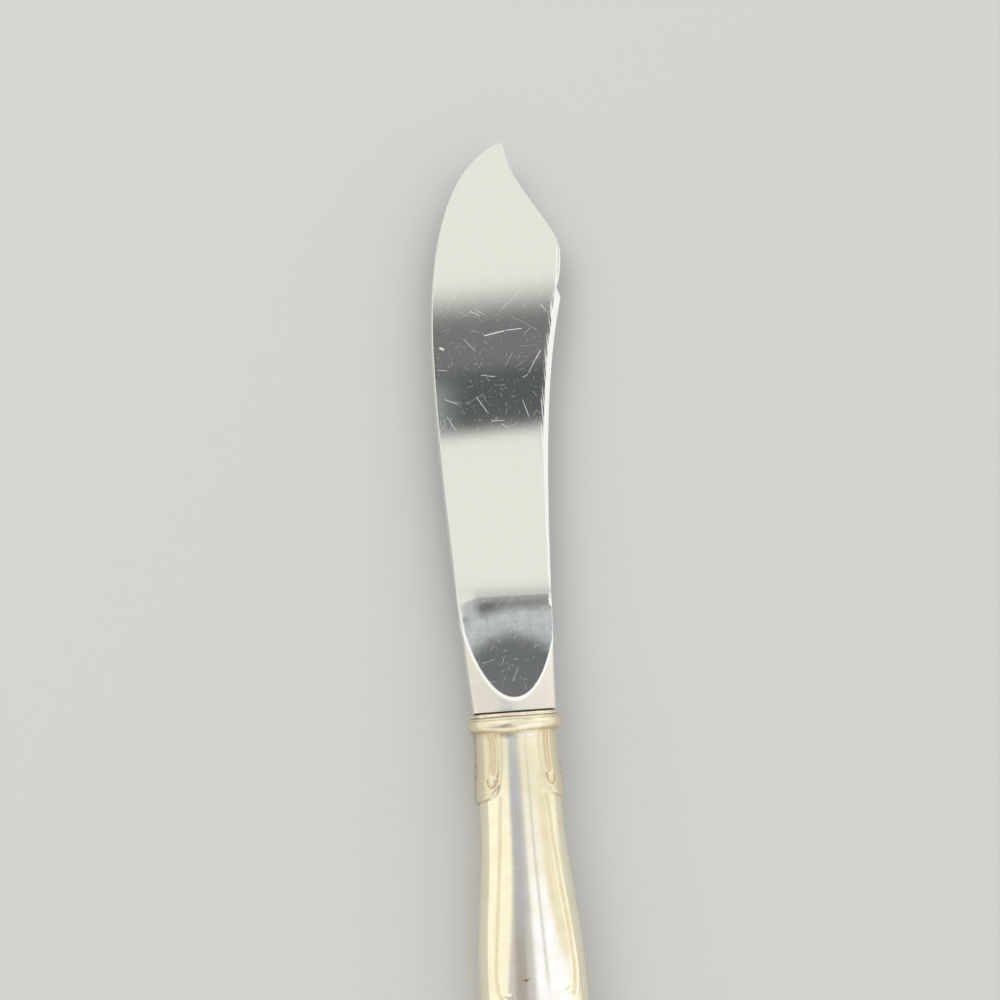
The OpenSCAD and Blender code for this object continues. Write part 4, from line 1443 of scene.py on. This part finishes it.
@dataclass
class Studio:
    """Floor, soft light and the camera, set out from the table that the knife was seen on.

    Directions in the room are angles in degrees from straight up: "side" towards the spine, "front" towards
    the tip and "back" towards the handle's end. A pair of them is a soft border, and three of them are two
    borders and how soft they are.
    """

    height: float = 105.0
    tilt: float = 16.0
    yaw: float = 4.0
    roll: float = 6.0
    focal_share: float = 0.751
    shoulder_place: Pair = (1.86, 0.56)
    sensor: float = 36.0
    near_clip: float = 0.005
    floor_colour: Colour = (0.6, 0.6, 0.59)
    floor_roughness: float = 0.7
    floor_reach: float = 12.0
    floor_drop: float = 2e-5
    lamp_place: Triple = (-0.55, 0.35, 0.75)
    lamp_size: float = 0.6
    lamp_energy: float = 1.6
    sky: Colour = (1.04, 1.03, 0.97)
    low_sky: Colour = (0.92, 0.9, 0.84)
    low_sky_up: Pair = (-0.1, 0.25)
    dim_sky: Colour = (0.85, 0.835, 0.75)
    dim_sky_front: Triple = (-4.5, -1.0, 2.5)
    window: Colour = (1.2, 1.2, 1.17)
    window_side: Triple = (38.0, 72.0, 6.0)
    window_front: Triple = (20.0, 70.0, 8.0)
    lamp_glow: Colour = (1.14, 1.13, 1.09)
    lamp_glow_side: Triple = (-50.0, -22.0, 6.0)
    lamp_glow_front: Triple = (12.0, 40.0, 8.0)
    panel: Colour = (0.12, 0.13, 0.14)
    panel_upper: Colour = (0.22, 0.23, 0.23)
    panel_upper_front: Pair = (27.0, 28.5)
    panel_foot: Pair = (22.2, 23.8)
    panel_top: Pair = (31.0, 34.5)
    panel_side: Triple = (2.0, 30.0, 3.0)
    panel_slant: float = 0.17
    panel_middle: float = 12.0
    panel_glow: Colour = (0.6, 0.63, 0.65)
    panel_glow_side: Pair = (4.0, 9.5)
    panel_glow_front: Triple = (23.5, 26.0, 2.0)
    end_front: float = 5.0
    end_near: Pair = (18.0, 30.0)
    end_top: Pair = (35.0, 50.0)
    board: Colour = (0.86, 0.815, 0.7)
    board_back: float = 2.0
    board_slant: float = 1.7
    board_side: Triple = (40.0, 50.0, 4.0)
    board_front: Pair = (-1.0, 0.5)
    glare: Colour = (1.05, 1.1, 1.36)
    glare_left: Pair = (12.0, 15.0)
    glare_right: Pair = (33.0, 39.0)
    glare_back: Pair = (0.2, 2.4)
    bar: Colour = (0.64, 0.64, 0.66)
    bar_slant: float = 0.3
    bar_side: Triple = (20.8, 23.2, 0.9)
    bar_front: Triple = (-15.0, -2.0, 3.0)
    shade_top: Colour = (0.49, 0.52, 0.66)
    shade_foot: Colour = (0.41, 0.4, 0.42)
    shade_flank: Colour = (0.6, 0.6, 0.7)
    shade_fall: Pair = (2.0, 10.0)
    shade_front: Pair = (-3.0, 4.0)
    shade_left: Pair = (-11.0, -8.5)
    shade_left_slant: float = 1.1
    shade_right: Pair = (10.5, 13.5)
    shade_right_slant: float = 0.1
    core_side: Triple = (-6.0, 4.0, 6.0)
    core_slant: float = 0.3

    @property
    def turn(self) -> Matrix:
        """Rotation from the table's axes to the knife's own."""
        return (Matrix.Rotation(-math.radians(self.roll), 3, "Y")
                @ Matrix.Rotation(-math.radians(self.yaw), 3, "Z"))

    def build_camera(self) -> None:
        """Set the camera at the angle at which the knife was seen."""
        across, along = self.shoulder_place
        eye = self.turn @ Vector((-across, -along, self.height))
        axes = self.turn @ Matrix.Rotation(math.radians(self.tilt), 3, "X")
        data = bpy.data.cameras.new("camera")
        data.sensor_width = self.sensor
        data.lens = self.sensor * self.focal_share
        data.clip_start = self.near_clip
        camera = show("camera", data)
        camera.matrix_world = Matrix.Translation(ANCHOR.origin + eye * MM) @ axes.to_4x4()
        bpy.context.scene.camera = camera

    def build_floor(self) -> None:
        """Lay a wide pale floor under the knife."""
        corners = [(x * self.floor_reach, y * self.floor_reach, -self.floor_drop)
                   for x, y in ((-1, -1), (1, -1), (1, 1), (-1, 1))]
        mesh = bpy.data.meshes.new("floor")
        mesh.from_pydata(corners, [], [(0, 1, 2, 3)])
        material = bpy.data.materials.new("pale_floor")
        material.use_nodes = True
        shader = material.node_tree.nodes["Principled BSDF"]
        shader.inputs["Base Color"].default_value = (*self.floor_colour, 1.0)
        shader.inputs["Roughness"].default_value = self.floor_roughness
        mesh.materials.append(material)
        show("floor", mesh)

    def build_sky(self) -> None:
        """Light the knife by a soft white room with a dark panel, a shade and a warm board."""
        world = bpy.data.worlds.new("studio")
        world.use_nodes = True
        world.node_tree.nodes.clear()
        graph = Graph(world.node_tree)
        way = graph.add("ShaderNodeTexCoord", None, None, "Generated")
        right, ahead, up = (graph.vector("DOT_PRODUCT", way, tuple(axis), out="Value")
                            for axis in self.turn.transposed())
        side = graph.math("ARCTAN2", right, up) * math.degrees(1)
        front = graph.math("ARCTAN2", ahead, up) * math.degrees(1)
        room = graph.mix(graph.step(up, *self.low_sky_up), self.low_sky, self.sky)
        room = graph.mix(graph.span(front, *self.dim_sky_front), room, self.dim_sky)
        for part in (self._windows, self._panel, self._handle_end):
            room = part(graph, room, side, front)
        light = graph.add("ShaderNodeBackground", None, {"Color": room})
        graph.add("ShaderNodeOutputWorld", None, {"Surface": light})
        bpy.context.scene.world = world

    def _windows(self, graph: Graph, room: Signal, side: Signal, front: Signal) -> Signal:
        """The room with a bright window on the side of the spine and the lamp's glow on the other side.

        Args:
            graph: The world's nodes.
            room: Light of the room so far.
            side: Angle towards the spine.
            front: Angle towards the tip.

        Returns:
            The light with the two in it.
        """
        bright = graph.span(side, *self.window_side) * graph.span(front, *self.window_front)
        room = graph.mix(bright, room, self.window)
        glow = graph.span(side, *self.lamp_glow_side) * graph.span(front, *self.lamp_glow_front)
        return graph.mix(glow, room, self.lamp_glow)

    def _panel(self, graph: Graph, room: Signal, side: Signal, front: Signal) -> Signal:
        """The room, as in _windows, with a dark panel before the tip, which the blade mirrors."""
        raked = front - self.panel_slant * (side - self.panel_middle)
        panel = graph.mix(graph.step(raked, *self.panel_upper_front), self.panel, self.panel_upper)
        glow = (1 - graph.step(side, *self.panel_glow_side)) * graph.span(raked, *self.panel_glow_front)
        panel = graph.mix(glow, panel, self.panel_glow)
        height = graph.step(raked, *self.panel_foot) * (1 - graph.step(raked, *self.panel_top))
        return graph.mix(graph.span(side, *self.panel_side) * height, room, panel)

    def _handle_end(self, graph: Graph, room: Signal, side: Signal, front: Signal) -> Signal:
        """The room, as in _windows, with a warm board, a glare, a bar and a shade at the handle's end."""
        back = -1 * front - self.end_front
        near = 1 - graph.step(back, *self.end_near)
        below = 1 - graph.step(back, *self.end_top)
        slanted = side - self.board_slant * graph.math("MAXIMUM", back - self.board_back, 0.0)
        board = graph.span(slanted, *self.board_side) * (1 - graph.step(front, *self.board_front))
        room = graph.mix(board * near, room, self.board)
        glare = graph.step(side, *self.glare_left) * (1 - graph.step(slanted, *self.glare_right))
        glare = glare * below * graph.step(back, *self.glare_back)
        room = graph.mix(glare, room, graph.mix(near, self.window, self.glare))
        bar = graph.span(side - self.bar_slant * back, *self.bar_side) * graph.span(front, *self.bar_front)
        room = graph.mix(bar, room, self.bar)
        core = graph.span(side + self.core_slant * back, *self.core_side)
        middle = graph.mix(graph.step(back, *self.shade_fall), self.shade_top, self.shade_foot)
        left = graph.step(side + self.shade_left_slant * back, *self.shade_left)
        right = graph.step(side - self.shade_right_slant * back, *self.shade_right)
        shade = left * (1 - right) * below * (1 - graph.step(front, *self.shade_front))
        return graph.mix(shade, room, graph.mix(core, self.shade_flank, middle))

    def build_lamp(self) -> None:
        """Add one large soft lamp, which gives the knife its shadow and isn't mirrored itself."""
        data = bpy.data.lights.new("soft_lamp", "AREA")
        data.shape = "DISK"
        data.size = self.lamp_size
        data.energy = self.lamp_energy
        lamp = show("soft_lamp", data)
        lamp.visible_glossy = False
        lamp.location = self.lamp_place
        lamp.rotation_euler = (-lamp.location).to_track_quat("-Z", "Y").to_euler()

    def build(self) -> None:
        """Set out the whole studio."""
        self.build_camera()
        self.build_floor()
        self.build_sky()
        self.build_lamp()
        bpy.context.scene.view_settings.view_transform = "Standard"


def main() -> None:
    """Build the knife's pieces in order and set them in the studio."""
    logging.basicConfig(level=logging.INFO, format="%(message)s")
    Studio().build()
    KnifeBlade().build()
    shell = HandleShell(Face.FRONT)
    tree, reliefs = EmbossTree(), ThreadOrnament(shell).reliefs()
    shell.build("stamped_front_shell", "handle_front_shell", reliefs, tree)
    HandleShell(Face.BACK).build("stamped_back_shell", "handle_back_shell", reliefs, tree)
    MouthPlate(shell).build()
    HiddenJoints().dress()


if __name__ == "__main__":
    main()
